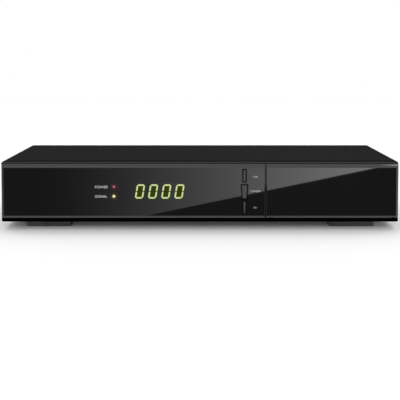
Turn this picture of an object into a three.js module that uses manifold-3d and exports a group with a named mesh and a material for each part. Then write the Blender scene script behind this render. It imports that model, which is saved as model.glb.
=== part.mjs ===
// A satellite television receiver as an assembly of its separate pieces: a steel tray and cover, a moulded
// front with a gloss plate and a flip-down flap, three keys, the boards inside and the sockets at the rear.
// Millimetres, with x to the right, y to the back from the front face, and z up from the floor.
import * as THREE from "three";
import { mergeVertices } from "three/addons/utils/BufferGeometryUtils.js";
import Module from "manifold-3d";

const wasm = await Module();
wasm.setup();

// Driving dimensions of the case
const caseWidth = 260;
const caseDepth = 180;
const caseHeight = 40;
const footHeight = 5;
const sheet = 0.8;
const boardThickness = 1.6;
const fit = 0.3;
const overrun = 1;

// Driving dimensions of the front
const plateThickness = 2.4;
const rimAbove = 1.8;
const rimBelow = 2.6;
const coverBend = 2;
const lowerCorner = 1.2;
const plateInset = 0.2;
const seamGap = 0.5;
const mouldWall = 2;
const thinWall = 1.6;
const fasciaDepth = 8;
const tongueDepth = 5;
const tongueWall = 1.5;
const barrelRadius = 2;
const bayDepth = 8.2;
const doorMargin = 4.75;
const portGap = 2.1;
const rowDrop = 0.3;

// Sizes that the pieces behind the front share with their openings in it
const reader = { width: 57.5, depth: 48, height: 6.4 };
const frontUsb = { width: 13.2, depth: 14, height: 5.8 };
const display = { x: -26.2, width: 38, height: 14.5, setback: 0.6 };
const lamp = { x: -56.3, pitch: 6.25, radius: 0.95 };
const eye = { width: 5.6, height: 7, depth: 4 };
const keyToSeam = 13.9;
const keyTravel = 0.5;
const keyWeb = 0.9;
const keys = [
  { name: "channel_up", top: 2.4, bottom: 2.4, height: 8.3, arch: 0 },
  { name: "standby", top: 4.5, bottom: 3.2, height: 9.6, arch: 0.35 },
  { name: "channel_down", top: 2.4, bottom: 1.6, height: 8.4, arch: 0 },
];

// Boards
const standoffHeight = 5;
const boardMargin = 2;
const boardGap = 4;
const displayBoardReach = 6.3;
const lampToBoardEdge = 10;
const keyToBoardEdge = 10.5;
const mainFrontGap = 0.9;
const mainRearGap = 2.2;
const powerFront = 50;
const powerRearGap = 21;

// Rear pieces, from the left as seen from the front
const inlet = { width: 25, height: 15, bodyWidth: 20, bodyHeight: 12, depth: 13, flange: 1.6 };
const mainsSwitch = { width: 21, height: 15, bodyWidth: 19, bodyHeight: 13, depth: 14, flange: 1.6 };
const switchBlade = { width: 0.8, height: 4.8, pitch: 9, length: 7 };
const network = { width: 16.5, height: 24, depth: 20, proud: 0.6 };
const avBlock = { width: 27, height: 25, depth: 13, pitchX: 13.4, pitchZ: 12.4, collar: 5.2 };
const scart = { width: 47, height: 13.6, depth: 14, proud: 2.5, slant: 4 };
const hdmi = { width: 15, height: 5.6, depth: 12, proud: 0.9 };
const tuner = { width: 28, depth: 54, height: 17, portPitch: 14 };
const threadRadius = 4.75;
const aerial = { radius: 6.2, rim: 1.2, flange: 1.6, length: 10, wall: 0.9 };
const aerialPlug = { radius: 4.75, pin: 1.2 };
const aerialJack = { radius: 5.8, pin: 1.8 };

// Pieces on the boards
const mainsCapacitor = { radius: 9, height: 25 };
const outputCapacitor = { radius: 5, height: 16 };
const processor = { size: 27, height: 1.8 };
const memory = { width: 9, depth: 14, height: 1.1 };
const sink = { size: 38, height: 11, base: 2.4, fins: 9, finWidth: 1.3 };
const transformerCore = { width: 30, depth: 12, height: 22 };
const transformerBobbin = { width: 24, depth: 25, height: 19, foot: 2.5 };
const transformerWinding = { width: 17, depth: 22 };
const chokeCore = { width: 17, depth: 14, height: 16 };
const chokeCoil = { radius: 6.2, length: 12 };
const fuseGlass = { radius: 2.6, length: 20 };
const fuseCap = { radius: 3, length: 5 };
const fuseClip = { width: 4, height: 5, depth: 7 };
const powerSink = { width: 19, thickness: 2, height: 23, finLength: 7, finThickness: 1.2, fins: 4 };
const leadPlug = { width: 12, depth: 6, height: 6 };
const leadCore = { width: 5, thickness: 2.4 };
const harnessPlug = { width: 5, depth: 11, height: 7 };
const harnessStrip = { width: 9, thickness: 1.4, rise: 7 };
const ribbonPlug = { width: 22, depth: 5, height: 5 };
const ribbonStrip = { width: 18, thickness: 1, sag: 5 };
const partGap = 1;

// Places that follow from the sizes above
const side = caseWidth / 2;
const caseBottom = footHeight;
const caseTop = footHeight + caseHeight;
const plateZ = [caseBottom + rimBelow, caseTop - rimAbove];
const rowZ = (plateZ[0] + plateZ[1]) / 2 - rowDrop;
const floorTop = caseBottom + sheet;
const boardZ = [floorTop + standoffHeight + fit, floorTop + standoffHeight + fit + boardThickness];
const portBase = boardZ[1] + fit;
const wallInside = caseDepth - sheet;
const innerSide = side - sheet - fit;
const innerTop = caseTop - sheet - fit;
const innerBend = coverBend - sheet - fit;

const bayWidth = reader.width + frontUsb.width + 3 * portGap;
const doorX = [side - plateInset - bayWidth - 2 * doorMargin, side - plateInset];
const plateX = [plateInset - side, doorX[0] - seamGap];
const seamX = (plateX[1] + doorX[0]) / 2;
const bayX = [doorX[0] + doorMargin, doorX[1] - doorMargin];
const keyX = seamX - keyToSeam;
const eyeX = (display.x + display.width / 2 + keyX) / 2;

const hingeY = barrelRadius;
const hingeZ = plateZ[0] + barrelRadius;
const recessY = plateThickness + fit;
const wallBack = recessY + mouldWall;
const doorRecessY = hingeY + barrelRadius + fit;
const bayBack = doorRecessY + bayDepth;
const displayBoardY = [wallBack + displayBoardReach, wallBack + displayBoardReach + boardThickness];

// Helpers for spans of a coordinate
const about = (centre, size) => [centre - size / 2, centre + size / 2];
const grow = ([low, high], by) => [low - by, high + by];
const middle = ([low, high]) => (low + high) / 2;
const within = ([low, high], share) => low + (high - low) * share;
const upFrom = (low, size) => [low, low + size];
const downFrom = (high, size) => [high - size, high];

// Spreads pieces over a span with equal gaps, and gives the centre of each.
function spread([low, high], widths) {
  const filled = widths.reduce((sum, width) => sum + width, 0);
  const gap = (high - low - filled) / (widths.length + 1);
  let edge = low;
  return widths.map((width) => {
    const centre = edge + gap + width / 2;
    edge += gap + width;
    return centre;
  });
}

const rearRow = [inlet, mainsSwitch, network, avBlock, scart, hdmi, tuner, tuner];
const rearWidths = rearRow.map(({ width }) => width);
const rearSpan = [sheet - innerSide, innerSide - sheet];
const [inletX, switchX, networkX, avX, scartX, hdmiX, aerialX, satelliteX] = spread(rearSpan, rearWidths);
const mainX = [networkX - network.width / 2 - boardMargin, rearSpan[1] - boardMargin];
const mainY = [bayBack + thinWall + mainFrontGap, wallInside - mainRearGap];
const powerX = [rearSpan[0] + boardMargin, mainX[0] - boardGap];
const powerY = [powerFront, wallInside - powerRearGap];

// Shapes. An outline is drawn in (y, z) for a prism along x, in (x, z) along y, and in (x, y) along z.
const alongX = new THREE.Vector3(1, 0, 0);
const alongY = new THREE.Vector3(0, 1, 0);
const alongZ = new THREE.Vector3(0, 0, 1);
const turns = {
  x: new THREE.Matrix4().makeBasis(alongY, alongZ, alongX),
  y: new THREE.Matrix4().makeBasis(alongX, alongZ, alongY.clone().negate()),
  z: new THREE.Matrix4(),
};
const curveSteps = 2;
const fineSteps = 4;
const rodSides = 16;
const fineSides = 32;

function block([x0, x1], [y0, y1], [z0, z1]) {
  const geometry = new THREE.BoxGeometry(x1 - x0, y1 - y0, z1 - z0);
  return geometry.translate((x0 + x1) / 2, (y0 + y1) / 2, (z0 + z1) / 2);
}

function prism(axis, outline, [from, to], steps = curveSteps) {
  const options = { depth: to - from, bevelEnabled: false, curveSegments: steps };
  const geometry = new THREE.ExtrudeGeometry(outline, options).applyMatrix4(turns[axis]);
  if (axis === "x") return geometry.translate(from, 0, 0);
  if (axis === "y") return geometry.translate(0, to, 0);
  return geometry.translate(0, 0, from);
}

// A cylinder along an axis. The centre gives the other two coordinates, in the order of x, y, z.
function rod(axis, radius, [from, to], [a, b] = [0, 0], sides = rodSides) {
  const geometry = new THREE.CylinderGeometry(radius, radius, to - from, sides);
  const mid = (from + to) / 2;
  if (axis === "x") return geometry.rotateZ(Math.PI / 2).translate(mid, a, b);
  if (axis === "y") return geometry.translate(a, mid, b);
  return geometry.rotateX(Math.PI / 2).translate(a, b, mid);
}

// A body turned about the y axis from a profile of [radius, y] points that starts and ends on the axis.
function turned(profile, sides = rodSides) {
  return new THREE.LatheGeometry(profile.map(([radius, y]) => new THREE.Vector2(radius, y)), sides);
}

function polygon(points) {
  return new THREE.Shape(points.map(([a, b]) => new THREE.Vector2(a, b)));
}

function rounded([a0, a1], [b0, b1], radius) {
  const outline = new THREE.Shape();
  outline.absarc(a1 - radius, b0 + radius, radius, -Math.PI / 2, 0);
  outline.absarc(a1 - radius, b1 - radius, radius, 0, Math.PI / 2);
  outline.absarc(a0 + radius, b1 - radius, radius, Math.PI / 2, Math.PI);
  outline.absarc(a0 + radius, b0 + radius, radius, Math.PI, Math.PI * 1.5);
  return outline;
}

// An oblong with only its upper corners rounded
function capped([a0, a1], [b0, b1], radius) {
  const outline = new THREE.Shape();
  outline.moveTo(a0, b0);
  outline.lineTo(a1, b0);
  outline.absarc(a1 - radius, b1 - radius, radius, 0, Math.PI / 2);
  outline.absarc(a0 + radius, b1 - radius, radius, Math.PI / 2, Math.PI);
  return outline;
}

function solid(shape) {
  if (shape instanceof wasm.Manifold) return shape;
  const loose = new THREE.BufferGeometry().setAttribute("position", shape.getAttribute("position"));
  loose.setIndex(shape.getIndex());
  const merged = mergeVertices(loose);
  const vertProperties = merged.getAttribute("position").array;
  const triVerts = new Uint32Array(merged.getIndex().array);
  return new wasm.Manifold(new wasm.Mesh({ numProp: 3, vertProperties, triVerts }));
}

const join = (...shapes) => shapes.map(solid).reduce((whole, next) => whole.add(next));
const cut = (base, ...tools) => tools.map(solid).reduce((whole, next) => whole.subtract(next), solid(base));
const common = (...shapes) => shapes.map(solid).reduce((whole, next) => whole.intersect(next));

function geometryOf(shape) {
  const { vertProperties, triVerts } = solid(shape).getMesh();
  const geometry = new THREE.BufferGeometry();
  geometry.setAttribute("position", new THREE.BufferAttribute(new Float32Array(vertProperties), 3));
  geometry.setIndex(new THREE.BufferAttribute(new Uint32Array(triVerts), 1));
  geometry.computeVertexNormals();
  return geometry;
}

const finishes = {
  blackSteel: { color: 0x262627, roughness: 0.55, metalness: 0.2 },
  plainSteel: { color: 0xa9adb0, roughness: 0.4, metalness: 0.9 },
  satinBlack: { color: 0x2b2b2c, roughness: 0.45, metalness: 0 },
  glossBlack: { color: 0x0a0a0b, roughness: 0.08, metalness: 0 },
  darkPlastic: { color: 0x161617, roughness: 0.6, metalness: 0 },
  palePlastic: { color: 0xd8d6cc, roughness: 0.55, metalness: 0 },
  rubber: { color: 0x1d1d1e, roughness: 0.85, metalness: 0 },
  boardGreen: { color: 0x1f5a33, roughness: 0.5, metalness: 0 },
  boardTan: { color: 0xa37b45, roughness: 0.6, metalness: 0 },
  tinPlate: { color: 0xc0c2c0, roughness: 0.35, metalness: 0.9 },
  nickel: { color: 0xb9b6ad, roughness: 0.25, metalness: 1 },
  aluminium: { color: 0x9b9ea1, roughness: 0.45, metalness: 0.9 },
  redLens: { color: 0xc8203a, roughness: 0.2, metalness: 0 },
  yellowLens: { color: 0xf2e07a, roughness: 0.2, metalness: 0 },
  smokedLens: { color: 0x241a1c, roughness: 0.15, metalness: 0 },
  blueSleeve: { color: 0x23345e, roughness: 0.4, metalness: 0 },
  amberTape: { color: 0xb88a3a, roughness: 0.5, metalness: 0 },
  paleCable: { color: 0xc9c9c4, roughness: 0.6, metalness: 0 },
  glass: { color: 0xcfd6d8, roughness: 0.1, metalness: 0 },
};

function piece(name, shape, finish) {
  const mesh = new THREE.Mesh(geometryOf(shape), new THREE.MeshStandardMaterial(finishes[finish]));
  mesh.name = name;
  return mesh;
}

function group(position, ...members) {
  const holder = new THREE.Group();
  holder.position.set(...position);
  holder.add(...members);
  return holder;
}

// Front plates. Both are gloss mouldings with a bevel all round, steeper along the joint between them.
const bevelDepth = 1.2;
const topBevel = { inset: 2.5, depth: bevelDepth };
const bottomBevel = { inset: 1.65, depth: bevelDepth };
const endBevel = { inset: 1.4, depth: bevelDepth };
const seamBevel = { inset: 0.6, depth: 0.5 };
const plateCorner = 0.8;

// The triangle that takes a bevel off a front edge. It is given as [across, depth] points for the edge at
// `edge`, and `facing` is 1 where the edge is the high one of its coordinate and -1 where it is the low one.
function bevelTriangle(edge, facing, { inset, depth }) {
  return [
    [edge - 2 * facing * inset, -depth],
    [edge + facing * inset, 2 * depth],
    [edge + facing * inset, -depth],
  ];
}

function bevelled(blank, [x0, x1], leftBevel, rightBevel) {
  const ends = grow([x0, x1], overrun);
  const swapped = (points) => points.map(([across, depth]) => [depth, across]);
  const rise = grow(plateZ, overrun);
  return cut(
    blank,
    prism("x", polygon(swapped(bevelTriangle(plateZ[1], 1, topBevel))), ends),
    prism("x", polygon(swapped(bevelTriangle(plateZ[0], -1, bottomBevel))), ends),
    prism("z", polygon(bevelTriangle(x0, -1, leftBevel)), rise),
    prism("z", polygon(bevelTriangle(x1, 1, rightBevel)), rise),
  );
}

// Outline of a key: it narrows downwards, and its top edge may be arched.
function keyOutline(key, [low, high], margin) {
  const halfTop = key.top / 2 + margin;
  const halfBottom = key.bottom / 2 + margin;
  const outline = new THREE.Shape();
  outline.moveTo(keyX - halfBottom, low - margin);
  outline.lineTo(keyX + halfBottom, low - margin);
  outline.lineTo(keyX + halfTop, high + margin - key.arch);
  if (key.arch > 0) {
    outline.quadraticCurveTo(keyX, high + margin + key.arch, keyX - halfTop, high + margin - key.arch);
  } else {
    outline.lineTo(keyX - halfTop, high + margin);
  }
  return outline;
}

// The keys stand in one column, with a web of the plate between their openings.
const columnHeight = keys.reduce((sum, key) => sum + key.height + 2 * fit, (keys.length - 1) * keyWeb);
let columnEdge = rowZ + columnHeight / 2;
for (const key of keys) {
  key.z = downFrom(columnEdge - fit, key.height);
  columnEdge -= key.height + 2 * fit + keyWeb;
}

const lamps = [
  { name: "power_lamp", z: rowZ + lamp.pitch / 2, finish: "redLens" },
  { name: "signal_lamp", z: rowZ - lamp.pitch / 2, finish: "yellowLens" },
];

function frontPlate() {
  const blank = prism("y", rounded(plateX, plateZ, plateCorner), [0, plateThickness]);
  const through = [-overrun, plateThickness + overrun];
  const openings = keys.map((key) => prism("y", keyOutline(key, key.z, fit), through));
  const lampHoles = lamps.map(({ z }) => rod("y", lamp.radius + fit, through, [lamp.x, z]));
  return cut(bevelled(blank, plateX, endBevel, seamBevel), ...openings, ...lampHoles);
}

// The flap turns on two pins that stand on lugs of the front moulding. Its barrel runs between the lugs, and
// a blind pocket behind each end of the flap leaves room for the lug as the flap swings down.
const lugInset = 2;
const lugWidth = 2;
const lugRadius = 0.9;
const pinRadius = 0.5;
const pinReach = 1.6;
const lugX = [upFrom(doorX[0] + lugInset, lugWidth), downFrom(doorX[1] - lugInset, lugWidth)];
const barrelX = [lugX[0][1] + fit, lugX[1][0] - fit];
const catchTongue = { width: 8, thickness: 1, reach: 8.2, drop: 4.5, bead: 0.5 };
const latchZ = about(plateZ[1] - catchTongue.drop, catchTongue.thickness);
const catchSlotRise = 1.6;
const catchSlotZ = [latchZ[0] - fit, latchZ[1] + catchSlotRise];

function flapDoor() {
  const ribInset = 3.2;
  const ribWidth = 1.2;
  const ribHeight = 1.1;
  const ribZ = [plateZ[0] + 2 * barrelRadius + ribInset, plateZ[1] - ribInset];
  const ribX = grow(doorX, -ribInset);
  const ribY = [plateThickness / 2, plateThickness + ribHeight];
  const blank = prism("y", rounded(doorX, plateZ, plateCorner), [0, plateThickness]);
  const barrel = rod("x", barrelRadius, barrelX, [hingeY, hingeZ]);
  const ribHollow = block(grow(ribX, -ribWidth), grow(ribY, overrun), grow(ribZ, -ribWidth));
  const rib = cut(block(ribX, ribY, ribZ), ribHollow);
  const tongueX = about(middle(doorX), catchTongue.width);
  const tongue = block(tongueX, [plateThickness / 2, catchTongue.reach], latchZ);
  const bead = rod("x", catchTongue.bead, tongueX, [catchTongue.reach - catchTongue.bead, latchZ[1]]);
  const whole = bevelled(join(blank, barrel, rib, tongue, bead), doorX, seamBevel, endBevel);
  const pocketRadius = lugRadius + fit;
  const pockets = lugX.flatMap((span) => [
    rod("x", pocketRadius, grow(span, fit), [hingeY, hingeZ]),
    block(grow(span, fit), [hingeY - pocketRadius, 2 * hingeY + overrun], [plateZ[0] - overrun, hingeZ]),
    block(grow(span, fit), [hingeY, 2 * hingeY + overrun], [plateZ[0] - overrun, hingeZ + pocketRadius]),
  ]);
  const boreDepth = pinReach + fit;
  const bores = [
    rod("x", pinRadius + fit, [barrelX[0] - overrun, barrelX[0] + boreDepth], [hingeY, hingeZ]),
    rod("x", pinRadius + fit, [barrelX[1] - boreDepth, barrelX[1] + overrun], [hingeY, hingeZ]),
  ];
  return cut(whole, ...pockets, ...bores);
}

// Front moulding: a rim round the plates, a wall behind them, the card bay behind the flap, and a tongue
// that tucks inside the cover and the tray.
const cavityX = [tongueWall - innerSide, innerSide - tongueWall];
const cavityZ = [floorTop + fit + tongueWall, innerTop - tongueWall];
const tongueEnd = fasciaDepth + tongueDepth;
const bayFloorSill = 0.5;
const bayHead = 8.2;
const bayZ = [portBase - fit - bayFloorSill, plateZ[1] - bayHead];
const [readerX, frontUsbX] = spread(bayX, [reader.width, frontUsb.width]);
const hookWidth = 8;
const hookDepth = 2.4;
const hookReach = 0.9;
const hookXShares = [0.12, 0.37, 0.63, 0.88];
const hookX = hookXShares.map((share) => within([-side, side], share));
const hookY = about(fasciaDepth + tongueDepth / 2, hookDepth);

function fasciaSkin() {
  const round = 3;
  const corner = 1;
  const profile = new THREE.Shape();
  profile.moveTo(fasciaDepth, caseBottom);
  profile.absarc(bevelDepth + round, caseBottom + round, round, -Math.PI / 2, -Math.PI, true);
  profile.absarc(bevelDepth + round, caseTop - round, round, Math.PI, Math.PI / 2, true);
  profile.lineTo(fasciaDepth, caseTop);
  const plan = rounded([-side, side], [bevelDepth, fasciaDepth + 2 * corner], corner);
  const face = new THREE.Shape();
  face.absarc(side - lowerCorner, caseBottom + lowerCorner, lowerCorner, -Math.PI / 2, 0);
  face.absarc(side - coverBend, caseTop - coverBend, coverBend, 0, Math.PI / 2);
  face.absarc(coverBend - side, caseTop - coverBend, coverBend, Math.PI / 2, Math.PI);
  face.absarc(lowerCorner - side, caseBottom + lowerCorner, lowerCorner, Math.PI, Math.PI * 1.5);
  const bar = prism("x", profile, [-side, side], fineSteps);
  const corners = prism("y", face, grow([bevelDepth, fasciaDepth], overrun));
  return common(bar, prism("z", plan, grow([caseBottom, caseTop], overrun)), corners);
}

function hingeLug(span, pinSpan) {
  const outline = new THREE.Shape();
  outline.moveTo(doorRecessY + mouldWall / 2, hingeZ + lugRadius);
  outline.absarc(hingeY, hingeZ, lugRadius, Math.PI / 2, Math.PI * 1.5);
  outline.lineTo(doorRecessY + mouldWall / 2, hingeZ - lugRadius);
  return join(prism("x", outline, span), rod("x", pinRadius, pinSpan, [hingeY, hingeZ]));
}

function frontFascia() {
  const tongueFace = capped([-innerSide, innerSide], [floorTop + fit, innerTop], innerBend);
  const tongue = prism("y", tongueFace, [mouldWall, tongueEnd]);
  const open = [-overrun, tongueEnd + overrun];
  const hollows = [
    block([cavityX[0], seamX - mouldWall], [wallBack, open[1]], cavityZ),
    block([seamX, cavityX[1]], [doorRecessY + mouldWall, open[1]], cavityZ),
  ];
  const recessZ = grow(plateZ, fit);
  const recesses = [
    block([-side - overrun, seamX], [open[0], recessY], recessZ),
    block([seamX, side + overrun], [open[0], doorRecessY], recessZ),
  ];
  const bayShell = block(grow(bayX, thinWall), [doorRecessY, bayBack + thinWall], grow(bayZ, thinWall));
  const bay = block(bayX, [open[0], bayBack], bayZ);
  const portY = [bayBack - overrun, bayBack + thinWall + overrun];
  const ports = [
    block(about(readerX, reader.width + 2 * fit), portY, grow(upFrom(portBase, reader.height), fit)),
    block(about(frontUsbX, frontUsb.width + 2 * fit), portY, grow(upFrom(portBase, frontUsb.height), fit)),
  ];
  const catchX = about(middle(doorX), catchTongue.width + 4 * fit);
  const catchSlot = block(catchX, [open[0], doorRecessY + mouldWall + overrun], catchSlotZ);
  const wallY = [recessY - overrun, wallBack + overrun];
  const windows = [
    block(about(display.x, display.width + 2 * fit), wallY, about(rowZ, display.height + 2 * fit)),
    block(about(eyeX, eye.width + 2 * fit), wallY, about(rowZ, eye.height + 2 * fit)),
    ...keys.map((key) => prism("y", keyOutline(key, key.z, fit), wallY)),
    ...lamps.map(({ z }) => rod("y", lamp.radius + fit, wallY, [lamp.x, z])),
  ];
  const bossRadius = 2.4;
  const bossY = [wallBack - overrun, displayBoardY[0] - fit];
  const bosses = displayBosses.map(([x, z]) => rod("y", bossRadius, bossY, [x, z]));
  const hookZ = [floorTop + fit - hookReach, floorTop + fit + tongueWall / 2];
  const hooks = hookX.map((x) => block(about(x, hookWidth), hookY, hookZ));
  const lugs = [
    hingeLug(lugX[0], [lugX[0][0], lugX[0][1] + pinReach]),
    hingeLug(lugX[1], [lugX[1][0] - pinReach, lugX[1][1]]),
  ];
  const shell = cut(join(fasciaSkin(), tongue), ...hollows, ...recesses);
  const opened = cut(join(shell, bayShell), bay, ...ports, catchSlot, ...windows);
  return join(opened, ...bosses, ...hooks, ...lugs);
}

function doorCatch() {
  const jaw = { width: 14, depth: 6.4, floor: 1.2 };
  const front = doorRecessY + mouldWall + fit;
  const x = about(middle(doorX), jaw.width);
  const y = upFrom(front, jaw.depth);
  const z = [bayZ[1] + thinWall + fit, cavityZ[1] - fit];
  const slotX = about(middle(doorX), catchTongue.width + 4 * fit);
  return cut(block(x, y, z), block(slotX, [front - overrun, y[1] - jaw.floor], catchSlotZ));
}

// Keys: a narrow cap that stands a little proud of the plate, and a foot that is wider than the opening and
// bears on the plunger of a push switch.
const keyProud = 0.35;
const keyFoot = 1;
const footOverhang = 1;
const keyBack = wallBack + fit + keyFoot;
const push = { size: 6, height: 3.4, plungerRadius: 1.75, plungerLength: 2.5, stroke: 2.2 };
const pushFront = displayBoardY[0] - fit - push.height;

function keyCap(key) {
  const round = 0.5;
  const depth = wallBack + fit + keyProud;
  const edge = { bevelSize: round, bevelThickness: round, bevelOffset: -round, bevelSegments: 2 };
  const options = { depth, curveSegments: fineSteps, ...edge };
  const cap = new THREE.ExtrudeGeometry(keyOutline(key, key.z, 0), options);
  cap.applyMatrix4(turns.y).translate(0, depth - keyProud + round, 0);
  const footX = about(keyX, key.top + 2 * footOverhang);
  return join(cap, block(footX, [wallBack + fit, keyBack], key.z));
}

function keyPlunger(key) {
  const front = keyBack + fit;
  return rod("y", push.plungerRadius, upFrom(front, push.plungerLength), [keyX, middle(key.z)]);
}

function pushSwitch(key) {
  const z = middle(key.z);
  const body = block(about(keyX, push.size), upFrom(pushFront, push.height), about(z, push.size));
  const bore = rod("y", push.plungerRadius + fit, [pushFront - overrun, pushFront + push.stroke], [keyX, z]);
  return cut(body, bore);
}

// Display board and what stands on it
const displayBoardX = [lamp.x - lampToBoardEdge, keyX + keyToBoardEdge];
const displayBoardZ = grow(cavityZ, -boardMargin / 2);
const bossInset = 3.2;
const bossXs = [displayBoardX[0] + bossInset, display.x + display.width / 2 - bossInset];
const bossZs = grow(displayBoardZ, -bossInset);
const displayBosses = bossXs.flatMap((x) => bossZs.map((z) => [x, z]));

function displayModule() {
  const y = [recessY + fit, displayBoardY[0] - fit];
  const lipDepth = 0.6;
  const lip = 1.2;
  const body = block(about(display.x, display.width), y, about(rowZ, display.height));
  const lensX = about(display.x, display.width - 2 * lip);
  const lens = block(lensX, [y[0] - overrun, y[0] + lipDepth], about(rowZ, display.height - 2 * lip));
  return cut(body, lens);
}

function lampBody() {
  const domeTip = 0.1;
  const domeShares = [[0, 0], [0.5, 0.14], [0.86, 0.5], [1, 1]];
  const collar = { radius: 1.5, length: 2 };
  const lead = { size: 0.5, pitch: 1.27 };
  const collarY = upFrom(wallBack + fit, collar.length);
  const dome = domeShares.map(([r, y]) => [r * lamp.radius, domeTip + y * lamp.radius]);
  const body = turned([
    ...dome,
    [lamp.radius, collarY[0]],
    [collar.radius, collarY[0]],
    [collar.radius, collarY[1]],
    [0, collarY[1]],
  ]);
  const leadY = [collarY[1] - lead.size, displayBoardY[0] - fit];
  const leadZ = about(0, lead.size);
  const leads = [-1, 1].map((hand) => block(about((hand * lead.pitch) / 2, lead.size), leadY, leadZ));
  return join(body, ...leads);
}

function infraredEye() {
  const front = recessY + 2 * fit;
  const lens = { radius: 2, proud: 0.4 };
  const lead = { size: 0.6, pitch: 1.8 };
  const bodyY = [front + lens.proud, front + eye.depth];
  const body = block(about(eyeX, eye.width), bodyY, about(rowZ, eye.height));
  const dome = rod("y", lens.radius, [front, front + eye.depth / 2], [eyeX, rowZ]);
  const leadY = [front + eye.depth / 2, displayBoardY[0] - fit];
  const leads = [-1, 0, 1].map((place) =>
    block(about(eyeX + place * lead.pitch, lead.size), leadY, about(rowZ, lead.size)),
  );
  return join(body, dome, ...leads);
}

// Behind the flap
function cardReader() {
  const slot = { width: 54.6, height: 1.6 };
  const frame = 1.4;
  const mouth = { depth: 2.4, rise: 0.9 };
  const y = upFrom(bayBack, reader.depth);
  const z = upFrom(portBase, reader.height);
  const body = block(about(readerX, reader.width), y, z);
  const slotZ = about(middle(z), slot.height);
  const track = block(about(readerX, slot.width), [y[0] - overrun, y[1] - frame], slotZ);
  const funnel = polygon([
    [y[0] - mouth.depth, slotZ[0] - 2 * mouth.rise],
    [y[0] + mouth.depth, slotZ[0]],
    [y[0] + mouth.depth, slotZ[1]],
    [y[0] - mouth.depth, slotZ[1] + 2 * mouth.rise],
  ]);
  const windowInset = 8;
  const windowY = grow(y, -windowInset);
  const windowX = grow(about(readerX, slot.width), -windowInset);
  const window = block(windowX, windowY, [slotZ[1] - fit, z[1] + overrun]);
  return cut(body, track, prism("x", funnel, about(readerX, slot.width)), window);
}

// A USB receptacle: a folded shell with the contact tongue in its upper half.
function usbShell() {
  const { width, depth, height } = frontUsb;
  const base = portBase;
  const shellWall = 0.5;
  const tongue = { side: 0.6, thickness: 1.8, setback: 1 };
  const mouth = [-overrun, depth - shellWall];
  const shell = block(about(0, width), [0, depth], upFrom(base, height));
  const hollowZ = grow(upFrom(base, height), -shellWall);
  const hollow = block(about(0, width - 2 * shellWall), mouth, hollowZ);
  const tongueX = about(0, width - 2 * shellWall - 2 * tongue.side);
  const tongueTop = hollowZ[1] - shellWall;
  const tongueY = [tongue.setback, depth - shellWall / 2];
  const contacts = block(tongueX, tongueY, downFrom(tongueTop, tongue.thickness));
  return join(cut(shell, hollow), contacts);
}

// Steel tray: floor, side flanges, rear wall with its top flange, standoffs, and all the cut-outs.
const trayFlange = 10;
const flangeFront = tongueEnd + 1.2;
const rearFlangeDepth = 8;
const standoffRadius = 3;
const standoffInset = 5;
const footPeg = { radius: 3, head: 3.6, headLength: 1.2, inset: 0 };
const foot = { width: 30, depth: 20, taper: 0.3, corner: 1.5 };
const footInset = { side: 13.65, front: 21.5, rear: 15 };
const footX = side - footInset.side - foot.width / 2;
const frontFootY = footInset.front + foot.depth / 2;
const rearFootY = caseDepth - footInset.rear - foot.depth / 2;
const footPlaces = [
  ["front_left_foot", -footX, frontFootY],
  ["front_right_foot", footX, frontFootY],
  ["rear_left_foot", -footX, rearFootY],
  ["rear_right_foot", footX, rearFootY],
];

// Slots in rows and columns, as [x, y] or [y, z] spans
function slotGrid(across, along, columns, rows, slotAcross, slotAlong) {
  const acrossCentres = spread(across, Array(columns).fill(slotAcross));
  const alongCentres = spread(along, Array(rows).fill(slotAlong));
  return acrossCentres.flatMap((a) => alongCentres.map((b) => [about(a, slotAcross), about(b, slotAlong)]));
}

function boardStandoffs([x0, x1], [y0, y1]) {
  const xs = grow([x0, x1], -standoffInset);
  const ys = grow([y0, y1], -standoffInset);
  const height = [floorTop - sheet / 2, floorTop + standoffHeight];
  return xs.flatMap((x) => ys.map((y) => rod("z", standoffRadius, height, [x, y])));
}

const rearCutouts = [];

function chassisTray() {
  const floorVent = { width: 3, length: 18, columns: 9, rows: 3 };
  const rearVent = { width: 2.2, height: 5, columns: 9 };
  const front = fasciaDepth + fit;
  const across = [-innerSide, innerSide];
  const floor = block(across, [front, caseDepth], [caseBottom, floorTop]);
  const wall = prism("y", capped(across, [caseBottom, innerTop], innerBend), [wallInside, caseDepth]);
  const topFlangeY = downFrom(caseDepth, rearFlangeDepth);
  const topFlange = block(grow(across, -innerBend), topFlangeY, downFrom(innerTop, sheet));
  const flangeY = [flangeFront, caseDepth];
  const flangeZ = upFrom(caseBottom, trayFlange);
  const flanges = [
    block(upFrom(-innerSide, sheet), flangeY, flangeZ),
    block(downFrom(innerSide, sheet), flangeY, flangeZ),
  ];
  const throughFloor = [caseBottom - overrun, floorTop + overrun];
  const hookHoles = hookX.map((x) => block(about(x, hookWidth + 2 * fit), grow(hookY, fit), throughFloor));
  const footHoles = footPlaces.map(([, x, y]) => rod("z", footPeg.radius + fit, throughFloor, [x, y]));
  const ventX = [within(mainX, ventShares.x[0]), within(mainX, ventShares.x[1])];
  const ventY = [within(mainY, ventShares.y[0]), within(mainY, ventShares.y[1])];
  const vents = slotGrid(ventX, ventY, floorVent.columns, floorVent.rows, floorVent.width, floorVent.length);
  const floorVents = vents.map(([x, y]) => block(x, y, throughFloor));
  const throughWall = [wallInside - overrun, caseDepth + overrun];
  const ventTop = innerTop - sheet - rearVent.height / 2;
  const wallVentZ = [ventTop - (3 / 2) * rearVent.height, ventTop];
  const wallVents = slotGrid(powerX, wallVentZ, rearVent.columns, 1, rearVent.width, rearVent.height);
  const rearVents = wallVents.map(([x, z]) => block(x, throughWall, z));
  const standoffs = [...boardStandoffs(mainX, mainY), ...boardStandoffs(powerX, powerY)];
  const body = join(floor, wall, topFlange, ...flanges, ...standoffs);
  return cut(body, ...hookHoles, ...footHoles, ...floorVents, ...rearVents, ...rearCutouts);
}
const ventShares = { x: [0.08, 0.62], y: [0.3, 0.78] };

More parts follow.
